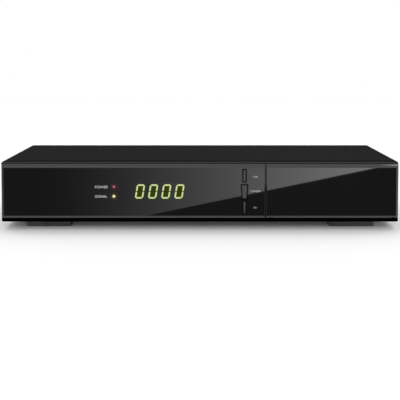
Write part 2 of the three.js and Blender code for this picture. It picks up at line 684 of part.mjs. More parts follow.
// Steel cover: top and sides in one folded sheet, with slots along the rear half of each side.
function topCover() {
  const sideVent = { width: 2, height: 12, columns: 14 };
  const ventShare = { from: 0.45, to: 0.95, mid: 0.62 };
  const y = [fasciaDepth + fit, caseDepth];
  const outside = capped([-side, side], [caseBottom, caseTop], coverBend);
  const hollowZ = [caseBottom - overrun, caseTop - sheet];
  const inside = capped([sheet - side, side - sheet], hollowZ, coverBend - sheet);
  const ventY = [within(y, ventShare.from), within(y, ventShare.to)];
  const ventZ = about(within([caseBottom, caseTop], ventShare.mid), sideVent.height);
  const slots = slotGrid(ventY, ventZ, sideVent.columns, 1, sideVent.width, sideVent.height);
  const ends = grow([-side, side], overrun);
  const slotRound = sideVent.width / 2;
  const vents = slots.map(([slotY, slotZ]) => prism("x", rounded(slotY, slotZ, slotRound), ends, 1));
  return cut(prism("y", outside, y, fineSteps), prism("y", inside, grow(y, overrun), fineSteps), ...vents);
}

// Rubber foot: a pad with tapered sides and a peg that snaps through the floor of the tray.
function rubberFoot() {
  const padTop = caseBottom - fit;
  const outline = rounded(about(0, foot.width), about(0, foot.depth), foot.corner);
  const edge = { bevelSize: foot.taper, bevelThickness: foot.taper, bevelOffset: -foot.taper };
  const options = { depth: padTop - foot.taper, curveSegments: 1, bevelSegments: 1, ...edge };
  const pad = new THREE.ExtrudeGeometry(outline, options);
  pad.translate(0, 0, foot.taper);
  const square = block(about(0, 2 * foot.width), about(0, 2 * foot.depth), [padTop, 2 * padTop]);
  const neck = rod("z", footPeg.radius, [padTop - overrun, floorTop + fit + footPeg.headLength / 2]);
  const head = rod("z", footPeg.head, upFrom(floorTop + fit, footPeg.headLength));
  return join(cut(pad, square), neck, head);
}

// Rear pieces. Each is drawn about its centre on the outer face of the rear wall, with y outwards, and gives
// the cut-out that it needs in that wall.
const wallY = [-sheet - overrun, overrun];
const behind = -sheet - fit;

function cutRear(x, z, ...tools) {
  for (const tool of tools) rearCutouts.push(solid(tool).translate([x, caseDepth, z]));
}

function mainsInlet() {
  const lobe = { radius: 4.3, pitch: 9, waistShare: 0.86 };
  const pin = { radius: 1.2, setback: 2, pitch: 8.6 };
  const floor = 2;
  const flangeY = upFrom(fit, inlet.flange);
  const flange = rounded(about(0, inlet.width), about(0, inlet.height), inlet.flange);
  const nose = rounded(about(0, inlet.bodyWidth), about(0, inlet.bodyHeight), inlet.flange);
  const body = join(prism("y", flange, flangeY), prism("y", nose, [-inlet.depth, flangeY[1]]));
  const well = [floor - inlet.depth, flangeY[1] + overrun];
  const lobes = [-1, 1].map((hand) => rod("y", lobe.radius, well, [(hand * lobe.pitch) / 2, 0]));
  const waist = block(about(0, lobe.pitch), well, about(0, 2 * lobe.radius * lobe.waistShare));
  const pinY = [floor / 2 - inlet.depth, flangeY[1] - pin.setback];
  const pins = [-1, 1].map((hand) => rod("y", pin.radius, pinY, [(hand * pin.pitch) / 2, 0]));
  return join(cut(body, ...lobes, waist), ...pins);
}

// The rocker is a slice of a disc that turns on two pins in the switch housing.
const rocker = { radius: 8.1, height: 10.8, pivot: -1, valley: 1.4, crest: 2.4 };
const rockerPin = { radius: 1.2, reach: 0.6 };
const rockerTiltDegrees = 9;

function switchHousing() {
  const flangeY = upFrom(fit, mainsSwitch.flange);
  const blade = switchBlade;
  const { width, height, bodyWidth, bodyHeight, depth, flange } = mainsSwitch;
  const body = join(
    prism("y", rounded(about(0, width), about(0, height), flange), flangeY),
    block(about(0, bodyWidth), [-depth, flangeY[1]], about(0, bodyHeight)),
  );
  const hollowZ = about(0, rocker.height + 2 * fit);
  const hollow = rod("z", rocker.radius + fit, hollowZ, [0, rocker.pivot], fineSides);
  const pinHoles = rod("z", rockerPin.radius + fit, about(0, 2 * height), [0, rocker.pivot]);
  const bladeY = [-depth - blade.length, -depth + blade.width];
  const blades = [-1, 1].map((hand) =>
    block(about((hand * blade.pitch) / 2, blade.width), bladeY, about(0, blade.height)),
  );
  return join(cut(body, hollow, pinHoles), ...blades);
}

function powerRocker() {
  const reach = rocker.radius + overrun;
  const slopeEnd = rocker.valley + ((rocker.crest - rocker.valley) * reach) / rocker.radius;
  const crests = [[-reach, slopeEnd], [0, rocker.valley], [reach, slopeEnd]];
  const above = polygon([...crests, [reach, reach], [-reach, reach]]);
  const zSpan = about(0, rocker.height);
  const disc = rod("z", rocker.radius, zSpan, [0, 0], fineSides);
  const below = block([-reach, reach], [-2 * rocker.radius, -rocker.radius / 2], grow(zSpan, overrun));
  const pins = rod("z", rockerPin.radius, about(0, rocker.height + 2 * rockerPin.reach + 2 * fit), [0, 0]);
  return join(cut(disc, prism("z", above, grow(zSpan, overrun)), below), pins);
}

function networkSocket() {
  const jack = { width: 11.8, height: 8.2, base: 1.8, depth: 13 };
  const latch = { width: 6.2, rise: 1.4 };
  const latchKey = { width: 3.2, rise: 1.3 };
  const port = { width: 12.6, height: 5.2, gap: 3, depth: 12 };
  const tongue = { width: 11.2, thickness: 1.8, drop: 0.7, setback: 1 };
  const z = about(0, network.height);
  const body = block(about(0, network.width), [-network.depth, network.proud], z);
  const jackY = [network.proud - jack.depth, network.proud + overrun];
  const jackZ = upFrom(z[0] + jack.base, jack.height);
  const latchTop = jackZ[1] + latch.rise;
  const keyTop = latchTop + latchKey.rise;
  const portY = [network.proud - port.depth, network.proud + overrun];
  const portZ = upFrom(keyTop + port.gap, port.height);
  const tongueZ = downFrom(portZ[1] - tongue.drop, tongue.thickness);
  return join(
    cut(
      body,
      block(about(0, jack.width), jackY, jackZ),
      block(about(0, latch.width), jackY, [jackZ[0], latchTop]),
      block(about(0, latchKey.width), jackY, [jackZ[0], keyTop]),
      block(about(0, port.width), portY, portZ),
    ),
    block(about(0, tongue.width), [portY[0] - tongue.setback, network.proud - tongue.setback], tongueZ),
  );
}

function avSockets() {
  const jack = { sleeve: 4.15, bore: 3.5, core: 2.6, hole: 1.6, length: 9 };
  const setting = { coreSetback: 1.4, root: 3, flange: 0.8 };
  const body = block(about(0, avBlock.width), [behind - avBlock.depth, behind], about(0, avBlock.height));
  const coreEnd = jack.length - setting.coreSetback;
  const root = behind - overrun;
  const barrel = () =>
    turned([
      [0, root],
      [avBlock.collar, root],
      [avBlock.collar, setting.flange],
      [jack.sleeve, setting.flange],
      [jack.sleeve, jack.length],
      [jack.bore, jack.length],
      [jack.bore, setting.root],
      [jack.core, setting.root],
      [jack.core, coreEnd],
      [jack.hole, coreEnd],
      [jack.hole, 0],
      [0, 0],
    ]);
  return join(body, ...avPlaces.map(([x, z]) => barrel().translate(x, 0, z)));
}
const avXs = about(0, avBlock.pitchX);
const avZs = about(0, avBlock.pitchZ);
const avPlaces = avXs.flatMap((x) => avZs.map((z) => [x, z]));

// Outline of the SCART shell: an oblong with one slanted end
function scartOutline(margin) {
  const [x0, x1] = grow(about(0, scart.width), margin);
  const [z0, z1] = grow(about(0, scart.height), margin);
  return polygon([[x0, z0], [x1, z0], [x1, z1 - scart.slant], [x1 - scart.slant, z1], [x0, z1]]);
}

function scartSocket() {
  const rim = 0.9;
  const groove = { width: 1.3, depth: 6 };
  const contact = { width: 1.1, height: 3.2, depth: 5, columns: 10, inset: 5.2, rowPitch: 5 };
  const front = scart.proud;
  const shell = prism("y", scartOutline(0), [-scart.depth, front]);
  const grooveY = [front - groove.depth, front + overrun];
  const ring = cut(
    prism("y", scartOutline(-rim), grooveY),
    prism("y", scartOutline(-rim - groove.width), grow(grooveY, overrun)),
  );
  const rowX = grow(about(0, scart.width), -contact.inset);
  const columns = spread(rowX, Array(contact.columns).fill(contact.width));
  const contactY = [front - contact.depth, front + overrun];
  const contacts = columns.flatMap((x) =>
    [-1, 1].map((hand) =>
      block(about(x, contact.width), contactY, about((hand * contact.rowPitch) / 2, contact.height)),
    ),
  );
  return cut(shell, ring, ...contacts);
}

function hdmiOutline(margin) {
  const [x0, x1] = grow(about(0, hdmi.width), margin);
  const [z0, z1] = grow(about(0, hdmi.height), margin);
  const waistShare = 0.45;
  const footShare = 0.12;
  const waist = within([z0, z1], waistShare);
  const footIn = hdmi.width * footShare;
  return polygon([[x0 + footIn, z0], [x1 - footIn, z0], [x1, waist], [x1, z1], [x0, z1], [x0, waist]]);
}

function hdmiSocket() {
  const shellWall = 0.5;
  const tongue = { width: 10.4, thickness: 1.2, setback: 1 };
  const shell = prism("y", hdmiOutline(0), [-hdmi.depth, hdmi.proud]);
  const hollowY = [shellWall - hdmi.depth, hdmi.proud + overrun];
  const hollow = prism("y", hdmiOutline(-shellWall), hollowY);
  const tongueY = [-hdmi.depth + shellWall / 2, hdmi.proud - tongue.setback];
  return join(cut(shell, hollow), block(about(0, tongue.width), tongueY, about(0, tongue.thickness)));
}

// A tuner is a soldered tin can with a lid. Its sockets pass through the rear wall of the case.
function tunerCan() {
  const lid = { overlap: 3, thickness: 0.4, ribs: 3, ribWidth: 1.2, ribRise: 0.4 };
  const y = [behind - tuner.depth, behind];
  const x = about(0, tuner.width);
  const z = about(0, tuner.height - 2 * lid.ribRise);
  const body = block(grow(x, -lid.thickness), y, z);
  const skirt = block(x, grow(y, -lid.thickness), [z[1] - lid.overlap, z[1]]);
  const ribZ = [z[1] - lid.thickness, z[1] + lid.ribRise];
  const ribs = spread(y, Array(lid.ribs).fill(lid.ribWidth)).map((place) =>
    block(grow(x, -lid.overlap), about(place, lid.ribWidth), ribZ),
  );
  const lugZ = [z[0] - lid.ribRise, z[0] + lid.overlap];
  const lugs = grow(x, -lid.thickness).flatMap((edge) =>
    grow(y, -lid.overlap).map((place) =>
      block(about(edge, lid.thickness * 2), about(place, lid.ribWidth), lugZ),
    ),
  );
  return join(body, skirt, ...ribs, ...lugs);
}

// Threaded F connector with its hexagon nut against the outside of the wall
function satelliteConnector() {
  const nut = { acrossFlats: 12.6, length: 2.6 };
  const thread = { length: 11, root: 0.35, turns: 4 };
  const face = { rim: 0.9, recess: 1.2, hole: 0.9, depth: 6 };
  const nutY = upFrom(fit, nut.length);
  const end = thread.length;
  const pitch = (end - nutY[1]) / thread.turns;
  const threads = Array.from({ length: thread.turns }, (unused, turn) => {
    const start = nutY[1] + turn * pitch;
    return [[threadRadius - thread.root, start], [threadRadius, start + pitch / 2]];
  }).flat();
  const core = turned([
    [0, behind + fit],
    [threadRadius, behind + fit],
    [threadRadius, nutY[1]],
    ...threads,
    [threadRadius - thread.root, end],
    [threadRadius - face.rim, end],
    [threadRadius - face.rim, end - face.recess],
    [face.hole, end - face.recess],
    [face.hole, end - face.depth],
    [0, end - face.depth],
  ]);
  const hexSides = 6;
  const nutRadius = nut.acrossFlats / Math.sqrt(3);
  return join(core, rod("y", nutRadius, nutY, [0, 0], hexSides));
}

// Coaxial aerial sockets: the inlet has a wide bore and a spring contact, the loop-through a sleeve and pin.
function aerialSocket({ radius: outer, pin }) {
  const { radius, rim, flange, length, wall } = aerial;
  const floor = fit + flange / 2;
  return turned([
    [0, behind + fit],
    [radius - rim, behind + fit],
    [radius - rim, fit],
    [radius + rim / 2, fit],
    [radius + rim / 2, fit + flange],
    [outer, fit + flange],
    [outer, length],
    [outer - wall, length],
    [outer - wall, floor],
    [pin, floor],
    [pin, length - wall],
    [0, length - wall],
  ]);
}

// Boards are plain laminates with clipped corners.
const boardClip = 2;

function board([x0, x1], [y0, y1]) {
  const outline = polygon([
    [x0 + boardClip, y0],
    [x1 - boardClip, y0],
    [x1, y0 + boardClip],
    [x1, y1 - boardClip],
    [x1 - boardClip, y1],
    [x0 + boardClip, y1],
    [x0, y1 - boardClip],
    [x0, y0 + boardClip],
  ]);
  return prism("z", outline, boardZ);
}

// Finned heat sink on a base plate
function finnedSink() {
  const across = about(0, sink.size);
  const centres = spread(about(0, sink.size + 2 * sink.finWidth), Array(sink.fins).fill(sink.finWidth));
  const blades = centres.map((x) => block(about(x, sink.finWidth), across, [sink.base / 2, sink.height]));
  return join(block(across, across, [0, sink.base]), ...blades);
}

// Standing electrolytic capacitor, with the rolled groove above its foot
function capacitor({ radius, height }) {
  const depthShare = 0.08;
  const grooveShares = [0.1, 0.14, 0.18];
  const [low, bottom, high] = grooveShares.map((share) => height * share);
  const waist = radius * (1 - depthShare);
  const profile = [
    [0, 0],
    [radius, 0],
    [radius, low],
    [waist, bottom],
    [radius, high],
    [radius, height - radius * depthShare],
    [waist, height],
    [0, height],
  ];
  return turned(profile).rotateX(Math.PI / 2);
}

function transformer() {
  const core = transformerCore;
  const bobbin = transformerBobbin;
  const winding = transformerWinding;
  return join(
    block(about(0, core.width), about(0, core.depth), [bobbin.foot / 2, core.height]),
    block(about(0, bobbin.width), about(0, bobbin.depth), [0, bobbin.foot]),
    block(about(0, winding.width), about(0, winding.depth), [bobbin.foot / 2, bobbin.height]),
    block(about(0, bobbin.width), about(0, bobbin.depth), [bobbin.height - bobbin.foot / 2, bobbin.height]),
  );
}

function mainsChoke() {
  const core = chokeCore;
  const coil = chokeCoil;
  const windowX = grow(about(0, core.width), -coil.radius / 2);
  const windowZ = grow([0, core.height], -coil.radius / 2);
  const frame = block(about(0, core.width), about(0, core.depth), [0, core.height]);
  const opened = cut(frame, block(windowX, about(0, 2 * core.depth), windowZ));
  return join(opened, rod("x", coil.radius, about(0, coil.length), [0, core.height / 2]));
}

function fuse() {
  const reach = (fuseGlass.length - fuseCap.length) / 2;
  const ends = [-reach, reach].map((y) => about(y, fuseCap.length));
  const clipZ = [0, fuseClip.height];
  return join(
    rod("y", fuseGlass.radius, about(0, fuseGlass.length), [0, fuseClip.height]),
    ...ends.map((span) => rod("y", fuseCap.radius, span, [0, fuseClip.height])),
    ...ends.map((span) => block(about(0, fuseClip.depth), about(middle(span), fuseClip.width), clipZ)),
  );
}

function powerHeatSink() {
  const { width, thickness, height, finLength, finThickness, fins } = powerSink;
  const places = spread(about(0, width + 2 * finThickness), Array(fins).fill(finThickness));
  return join(
    block(about(0, width), about(0, thickness), [0, height]),
    ...places.map((x) => block(about(x, finThickness), [0, finLength], [0, height])),
  );
}

// A lead or ribbon along a curve, with a plug at each end
const leadSteps = 12;

function lead(points, width, thickness, plugs) {
  const curve = new THREE.CatmullRomCurve3(points.map((point) => new THREE.Vector3(...point)));
  const [x0, x1] = about(0, width);
  const [y0, y1] = about(0, thickness);
  const section = polygon([[x0, y0], [x1, y0], [x1, y1], [x0, y1]]);
  const strip = new THREE.ExtrudeGeometry(section, { steps: leadSteps, extrudePath: curve });
  return join(strip, ...plugs);
}

const onBoard = (x, y, ...members) => group([x, y, portBase], ...members);

// Places on the power board, by clearances from its edges. From the rear edge forwards stand the lead plugs,
// the choke, the heat sink and the transformer, with the capacitor and the fuse at the left. The output
// capacitors and the plug of the harness share a row at the front edge.
const powerLeft = powerX[0] + partGap;
const powerRight = powerX[1] - partGap;
const transformerX = powerRight - transformerCore.width / 2;
const heatSinkX = powerRight - powerSink.width / 2;
const chokeX = powerRight - chokeCore.width / 2;
const harnessX = powerRight - harnessPlug.width / 2;
const capacitorX = powerLeft + mainsCapacitor.radius;
const fuseX = powerLeft + fuseClip.depth / 2;
const outputCount = 3;
const outputWidths = Array(outputCount).fill(2 * outputCapacitor.radius);
const outputXs = spread([powerX[0], powerRight - harnessPlug.width], outputWidths);
const leadPlugY = downFrom(powerY[1] - leadPlug.depth, leadPlug.depth);
const chokeY = downFrom(leadPlugY[0] - partGap, chokeCore.depth);
const heatSinkY = downFrom(chokeY[0] - partGap, powerSink.finLength);
const transformerY = downFrom(heatSinkY[0] - powerSink.thickness / 2 - partGap, transformerBobbin.depth);
const capacitorY = downFrom(leadPlugY[0] - partGap, 2 * mainsCapacitor.radius);
const fuseY = downFrom(capacitorY[0] - partGap, fuseGlass.length);
const frontRowY = upFrom(powerY[0] + partGap, harnessPlug.depth);
const mainShares = {
  processor: [0.34, 0.5],
  memory: [[0.18, 0.42], [0.18, 0.6]],
  ribbon: [0.2, 0.06],
};
const onMain = ([x, y]) => [within(mainX, x), within(mainY, y)];

function powerHarness() {
  const plug = harnessPlug;
  const strip = harnessStrip;
  const y0 = middle(frontRowY);
  const x0 = harnessX;
  const x1 = mainX[0] + boardMargin + harnessPlug.width;
  const base = portBase;
  const plugZ = upFrom(base, plug.height);
  const plugs = [x0, x1].map((x) => block(about(x, plug.width), about(y0, plug.depth), plugZ));
  const start = base + plug.height - strip.thickness;
  const points = [
    [x0, y0, start],
    [x0, y0, start + strip.rise / 2],
    [(x0 + x1) / 2, y0, start + strip.rise],
    [x1, y0, start + strip.rise / 2],
    [x1, y0, start],
  ];
  return lead(points, strip.width, strip.thickness, plugs);
}

function displayRibbon() {
  const plug = ribbonPlug;
  const strip = ribbonStrip;
  const [x, y] = onMain(mainShares.ribbon);
  const lower = block(about(x, plug.width), about(y, plug.depth), upFrom(portBase, plug.height));
  const upperY = upFrom(displayBoardY[1] + fit, plug.depth);
  const upper = block(about(x, plug.width), upperY, about(rowZ + plug.height, plug.height));
  const points = [
    [x, upperY[1] - strip.thickness, rowZ + plug.height],
    [x, upperY[1] + strip.sag, rowZ + plug.height],
    [x, y, portBase + plug.height + strip.sag],
    [x, y, portBase + plug.height - strip.thickness],
  ];
  return lead(points, strip.width, strip.thickness, [lower, upper]);
}

// Two-core lead from a terminal block behind a rear piece down to the power board
function mainsLead(x, z, startY) {
  const { width, depth, height } = leadPlug;
  const core = leadCore;
  const endY = middle(leadPlugY);
  const terminal = block(about(x, width), downFrom(startY, depth), about(z, height));
  const lower = block(about(x, width), leadPlugY, upFrom(portBase, height));
  const points = [
    [x, startY - depth + core.thickness / 2, z],
    [x, startY - depth - core.thickness, z],
    [x, endY, portBase + height + core.thickness],
    [x, endY, portBase + height - core.thickness],
  ];
  return lead(points, core.width, core.thickness, [terminal, lower]);
}

// Heights of the rear pieces: the mains pieces sit midway, the others stand on the main board.
const rearMid = (caseBottom + caseTop) / 2;
const mainsDrop = 4;
const mainsZ = rearMid - mainsDrop;
const standing = (height) => portBase + height / 2;
const networkZ = standing(network.height);
const avZ = standing(avBlock.height);
const scartZ = standing(scart.height);
const hdmiZ = standing(hdmi.height);
const tunerZ = standing(tuner.height);
const portX = (centre, hand) => centre + (hand * tuner.portPitch) / 2;

function cutRearWall() {
  const boxed = (width, height) => block(about(0, width + 2 * fit), wallY, about(0, height + 2 * fit));
  cutRear(inletX, mainsZ, boxed(inlet.bodyWidth, inlet.bodyHeight));
  cutRear(switchX, mainsZ, boxed(mainsSwitch.bodyWidth, mainsSwitch.bodyHeight));
  cutRear(networkX, networkZ, boxed(network.width, network.height));
  for (const [x, z] of avPlaces) cutRear(avX + x, avZ + z, rod("y", avBlock.collar + fit, wallY));
  cutRear(scartX, scartZ, prism("y", scartOutline(fit), wallY));
  cutRear(hdmiX, hdmiZ, prism("y", hdmiOutline(fit), wallY));
  for (const hand of [-1, 1]) {
    cutRear(portX(aerialX, hand), tunerZ, rod("y", aerial.radius - aerial.rim + fit, wallY));
    cutRear(portX(satelliteX, hand), tunerZ, rod("y", threadRadius + fit, wallY));
  }
}
cutRearWall();

const rockerMesh = piece("power_rocker", powerRocker(), "darkPlastic");
rockerMesh.rotation.z = THREE.MathUtils.degToRad(rockerTiltDegrees);

const front = [
  piece("front_plate", frontPlate(), "glossBlack"),
  piece("flap_door", flapDoor(), "glossBlack"),
  piece("front_fascia", frontFascia(), "satinBlack"),
  piece("door_catch", doorCatch(), "palePlastic"),
  ...keys.map((key) => piece(key.name + "_key", keyCap(key), "satinBlack")),
  ...keys.map((key) => piece(key.name + "_plunger", keyPlunger(key), "palePlastic")),
  ...keys.map((key) => piece(key.name + "_switch", pushSwitch(key), "darkPlastic")),
  piece("display_board", block(displayBoardX, displayBoardY, displayBoardZ), "boardGreen"),
  piece("display_module", displayModule(), "darkPlastic"),
  piece("infrared_eye", infraredEye(), "smokedLens"),
  ...lamps.map(({ name, z, finish }) => group([lamp.x, 0, z], piece(name, lampBody(), finish))),
  piece("card_reader", cardReader(), "darkPlastic"),
  group([frontUsbX, bayBack, 0], piece("front_usb_socket", usbShell(), "nickel")),
];

const shells = [
  piece("chassis_tray", chassisTray(), "plainSteel"),
  piece("top_cover", topCover(), "blackSteel"),
  ...footPlaces.map(([name, x, y]) => group([x, y, 0], piece(name, rubberFoot(), "rubber"))),
];

const inletLeadY = caseDepth - inlet.depth - fit;
const switchLeadY = caseDepth - mainsSwitch.depth - switchBlade.length - fit;
const powerSide = [
  piece("power_board", board(powerX, powerY), "boardTan"),
  onBoard(transformerX, middle(transformerY), piece("transformer", transformer(), "amberTape")),
  onBoard(capacitorX, middle(capacitorY), piece("mains_capacitor", capacitor(mainsCapacitor), "blueSleeve")),
  onBoard(heatSinkX, heatSinkY[0], piece("power_heat_sink", powerHeatSink(), "aluminium")),
  onBoard(chokeX, middle(chokeY), piece("mains_choke", mainsChoke(), "amberTape")),
  onBoard(fuseX, middle(fuseY), piece("fuse", fuse(), "glass")),
  ...outputXs.map((x, index) => {
    const name = "output_capacitor_" + (index + 1);
    return onBoard(x, middle(frontRowY), piece(name, capacitor(outputCapacitor), "blueSleeve"));
  }),
  piece("power_harness", powerHarness(), "paleCable"),
  piece("inlet_lead", mainsLead(inletX, mainsZ, inletLeadY), "paleCable"),
  piece("switch_lead", mainsLead(switchX, mainsZ, switchLeadY), "paleCable"),
];

const processorCase = () => block(about(0, processor.size), about(0, processor.size), [0, processor.height]);
const memoryChip = () => block(about(0, memory.width), about(0, memory.depth), [0, memory.height]);
const mainSide = [
  piece("main_board", board(mainX, mainY), "boardGreen"),
  onBoard(
    ...onMain(mainShares.processor),
    piece("processor", processorCase(), "darkPlastic"),
    group([0, 0, processor.height + fit], piece("processor_heat_sink", finnedSink(), "aluminium")),
  ),
  ...mainShares.memory.map((place, index) =>
    onBoard(...onMain(place), piece("memory_chip_" + (index + 1), memoryChip(), "darkPlastic")),
  ),
  piece("display_ribbon", displayRibbon(), "paleCable"),
];

const rear = [
  group([inletX, caseDepth, mainsZ], piece("mains_inlet", mainsInlet(), "darkPlastic")),
  group(
    [switchX, caseDepth, mainsZ],
    piece("power_switch", switchHousing(), "darkPlastic"),
    group([0, rocker.pivot, 0], rockerMesh),
  ),
  group([networkX, caseDepth, networkZ], piece("network_usb_socket", networkSocket(), "tinPlate")),
  group([avX, caseDepth, avZ], piece("av_socket_block", avSockets(), "darkPlastic")),
  group([scartX, caseDepth, scartZ], piece("scart_socket", scartSocket(), "darkPlastic")),
  group([hdmiX, caseDepth, hdmiZ], piece("hdmi_socket", hdmiSocket(), "nickel")),
  group(
    [aerialX, caseDepth, tunerZ],
    piece("terrestrial_tuner", tunerCan(), "tinPlate"),
    group([portX(0, 1), 0, 0], piece("aerial_in_socket", aerialSocket(aerialJack), "nickel")),
    group([portX(0, -1), 0, 0], piece("aerial_out_plug", aerialSocket(aerialPlug), "nickel")),
  ),
  group(
    [satelliteX, caseDepth, tunerZ],
    piece("satellite_tuner", tunerCan(), "tinPlate"),
    group([portX(0, 1), 0, 0], piece("lnb_in_connector", satelliteConnector(), "nickel")),
    group([portX(0, -1), 0, 0], piece("lnb_out_connector", satelliteConnector(), "nickel")),
  ),
];

// The frame's origin is under the middle of the whole, connectors included.
const rearReach = 11;
const receiver = new THREE.Group();
receiver.position.y = -(caseDepth + rearReach - keyProud) / 2;
receiver.add(...front, ...shells, ...powerSide, ...mainSide, ...rear);

export default receiver;
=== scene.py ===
import math

import bmesh
import bpy
from mathutils import Matrix, Vector


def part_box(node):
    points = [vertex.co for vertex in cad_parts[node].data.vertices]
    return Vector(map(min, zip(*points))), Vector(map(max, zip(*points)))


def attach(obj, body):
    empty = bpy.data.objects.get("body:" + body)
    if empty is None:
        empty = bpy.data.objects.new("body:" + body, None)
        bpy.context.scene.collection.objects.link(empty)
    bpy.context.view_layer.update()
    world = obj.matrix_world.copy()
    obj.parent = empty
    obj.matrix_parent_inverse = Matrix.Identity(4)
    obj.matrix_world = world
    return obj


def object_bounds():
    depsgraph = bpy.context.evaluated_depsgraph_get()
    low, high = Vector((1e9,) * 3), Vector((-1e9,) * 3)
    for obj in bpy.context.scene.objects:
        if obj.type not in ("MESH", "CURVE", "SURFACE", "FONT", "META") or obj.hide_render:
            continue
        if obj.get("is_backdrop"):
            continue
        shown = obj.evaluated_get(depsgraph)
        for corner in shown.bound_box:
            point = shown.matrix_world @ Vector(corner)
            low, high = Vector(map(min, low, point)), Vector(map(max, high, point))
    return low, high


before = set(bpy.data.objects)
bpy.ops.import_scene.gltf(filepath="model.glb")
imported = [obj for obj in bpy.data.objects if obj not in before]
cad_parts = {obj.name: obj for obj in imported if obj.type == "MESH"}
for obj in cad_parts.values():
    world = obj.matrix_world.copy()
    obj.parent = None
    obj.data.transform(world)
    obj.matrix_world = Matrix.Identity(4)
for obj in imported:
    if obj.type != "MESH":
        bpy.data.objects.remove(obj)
cad_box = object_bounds()


# The view
# The receiver is seen from straight ahead and a little above, with a long lens, as it stands on a white
# sweep.

VIEW_DISTANCE = 0.993
VIEW_HEIGHT = 0.1135
VIEW_DIP = 5.40
LENS = 137.24
SENSOR_WIDTH = 36.0
SENSOR_SHIFT = 0.0002
CLIP_START = 0.01
CLIP_END = 20.0
FRONT_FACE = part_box("front_plate")[0].y

camera_data = bpy.data.cameras.new("camera")
camera_data.sensor_width = SENSOR_WIDTH
camera_data.lens = LENS
camera_data.shift_x = SENSOR_SHIFT
camera_data.clip_start = CLIP_START
camera_data.clip_end = CLIP_END
camera = bpy.data.objects.new("camera", camera_data)
camera.location = (0.0, FRONT_FACE - VIEW_DISTANCE, VIEW_HEIGHT)
camera.rotation_euler = (math.radians(90.0 - VIEW_DIP), 0.0, 0.0)
bpy.context.scene.collection.objects.link(camera)
bpy.context.scene.camera = camera
bpy.context.scene.view_settings.view_transform = "Standard"


# Daylight dome
# A plain white dome lights the receiver evenly, so that each colour renders about as it is written.

world = bpy.data.worlds.new("dome")
bpy.context.scene.world = world
world.use_nodes = True
world.node_tree.nodes.clear()
dome = world.node_tree.nodes.new("ShaderNodeBackground")
dome.inputs["Color"].default_value = (1.0, 1.0, 1.0, 1.0)
dome.inputs["Strength"].default_value = 1.0
dome_out = world.node_tree.nodes.new("ShaderNodeOutputWorld")
world.node_tree.links.new(dome.outputs[0], dome_out.inputs[0])


# Studio floor
# A wide sheet that takes the soft shadow. The dome and the two floor lights make it look white to the camera
# and in gloss, and it throws only a little light back up under the receiver.

FLOOR_SIZE = 6.0
FLOOR_TONE = (0.546, 0.546, 0.546, 1.0)
FLOOR_BOUNCE = (0.065, 0.065, 0.065, 1.0)
FLOOR_LIFT = 0.02


def stage_piece(name, bm):
    """Turns a bmesh into a piece of the studio. Returns it with the empty nodes of its material."""
    mesh = bpy.data.meshes.new(name)
    bm.to_mesh(mesh)
    bm.free()
    piece = bpy.data.objects.new(name, mesh)
    bpy.context.scene.collection.objects.link(piece)
    piece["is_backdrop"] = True
    material = bpy.data.materials.new(name)
    material.use_nodes = True
    material.node_tree.nodes.clear()
    mesh.materials.append(material)
    return piece, material.node_tree


def math_node(tree, operation):
    """A math node of one kind."""
    node = tree.nodes.new("ShaderNodeMath")
    node.operation = operation
    return node


def colour_mix(tree):
    """A mix of two colours. Returns the sockets of its share, of its two colours and of its result."""
    node = tree.nodes.new("ShaderNodeMix")
    node.data_type = "RGBA"
    return node.inputs[0], node.inputs[6], node.inputs[7], node.outputs[2]


bm = bmesh.new()
bmesh.ops.create_grid(bm, x_segments=1, y_segments=1, size=FLOOR_SIZE / 2)
floor, tree = stage_piece("floor", bm)
path = tree.nodes.new("ShaderNodeLightPath")
seen = math_node(tree, "ADD")
clear = math_node(tree, "ADD")
clear.use_clamp = True
tree.links.new(path.outputs["Is Camera Ray"], seen.inputs[0])
tree.links.new(path.outputs["Is Glossy Ray"], seen.inputs[1])
tree.links.new(seen.outputs[0], clear.inputs[0])
tree.links.new(path.outputs["Is Transmission Ray"], clear.inputs[1])
share, bounced, shown, tone = colour_mix(tree)
bounced.default_value = FLOOR_BOUNCE
shown.default_value = FLOOR_TONE
tree.links.new(clear.outputs[0], share)
matte = tree.nodes.new("ShaderNodeBsdfDiffuse")
tree.links.new(tone, matte.inputs["Color"])
glow = tree.nodes.new("ShaderNodeEmission")
glow.inputs["Strength"].default_value = FLOOR_LIFT
both = tree.nodes.new("ShaderNodeAddShader")
tree.links.new(matte.outputs[0], both.inputs[0])
tree.links.new(glow.outputs[0], both.inputs[1])
lift = tree.nodes.new("ShaderNodeMixShader")
tree.links.new(clear.outputs[0], lift.inputs[0])
tree.links.new(matte.outputs[0], lift.inputs[1])
tree.links.new(both.outputs[0], lift.inputs[2])
floor_out = tree.nodes.new("ShaderNodeOutputMaterial")
tree.links.new(lift.outputs[0], floor_out.inputs[0])


# Floor lights
# Two broad soft lights for the sheet alone. The one from behind lets the shadow run out slowly in front of
# the receiver, and the low one from the front reaches under it.

BACK_ELEVATION = 38.0
BACK_SPREAD = 74.0
BACK_SHARE = 0.53
FRONT_ELEVATION = 13.0
FRONT_SPREAD = 22.0
FRONT_SHARE = 0.3

floor_only = bpy.data.collections.new("floor_only")
floor_only.objects.link(floor)


def add_light(name, kind, place, away):
    """A light at a place that shines against a direction."""
    light = bpy.data.objects.new(name, bpy.data.lights.new(name, kind))
    light.location = place
    light.rotation_euler = Vector(away).to_track_quat("Z", "Y").to_euler()
    light.visible_camera = False
    bpy.context.scene.collection.objects.link(light)
    return light


def floor_light(name, elevation, spread, hand, share):
    """A soft sun that adds a share of the dome's light to the floor, from behind (1) or the front (-1)."""
    rise = math.radians(elevation)
    toward = (0.0, hand * math.cos(rise), math.sin(rise))
    light = add_light(name, "SUN", toward, toward)
    light.data.angle = math.radians(spread)
    light.data.energy = share * math.pi / math.sin(rise)
    light.visible_glossy = False
    light.light_linking.receiver_collection = floor_only


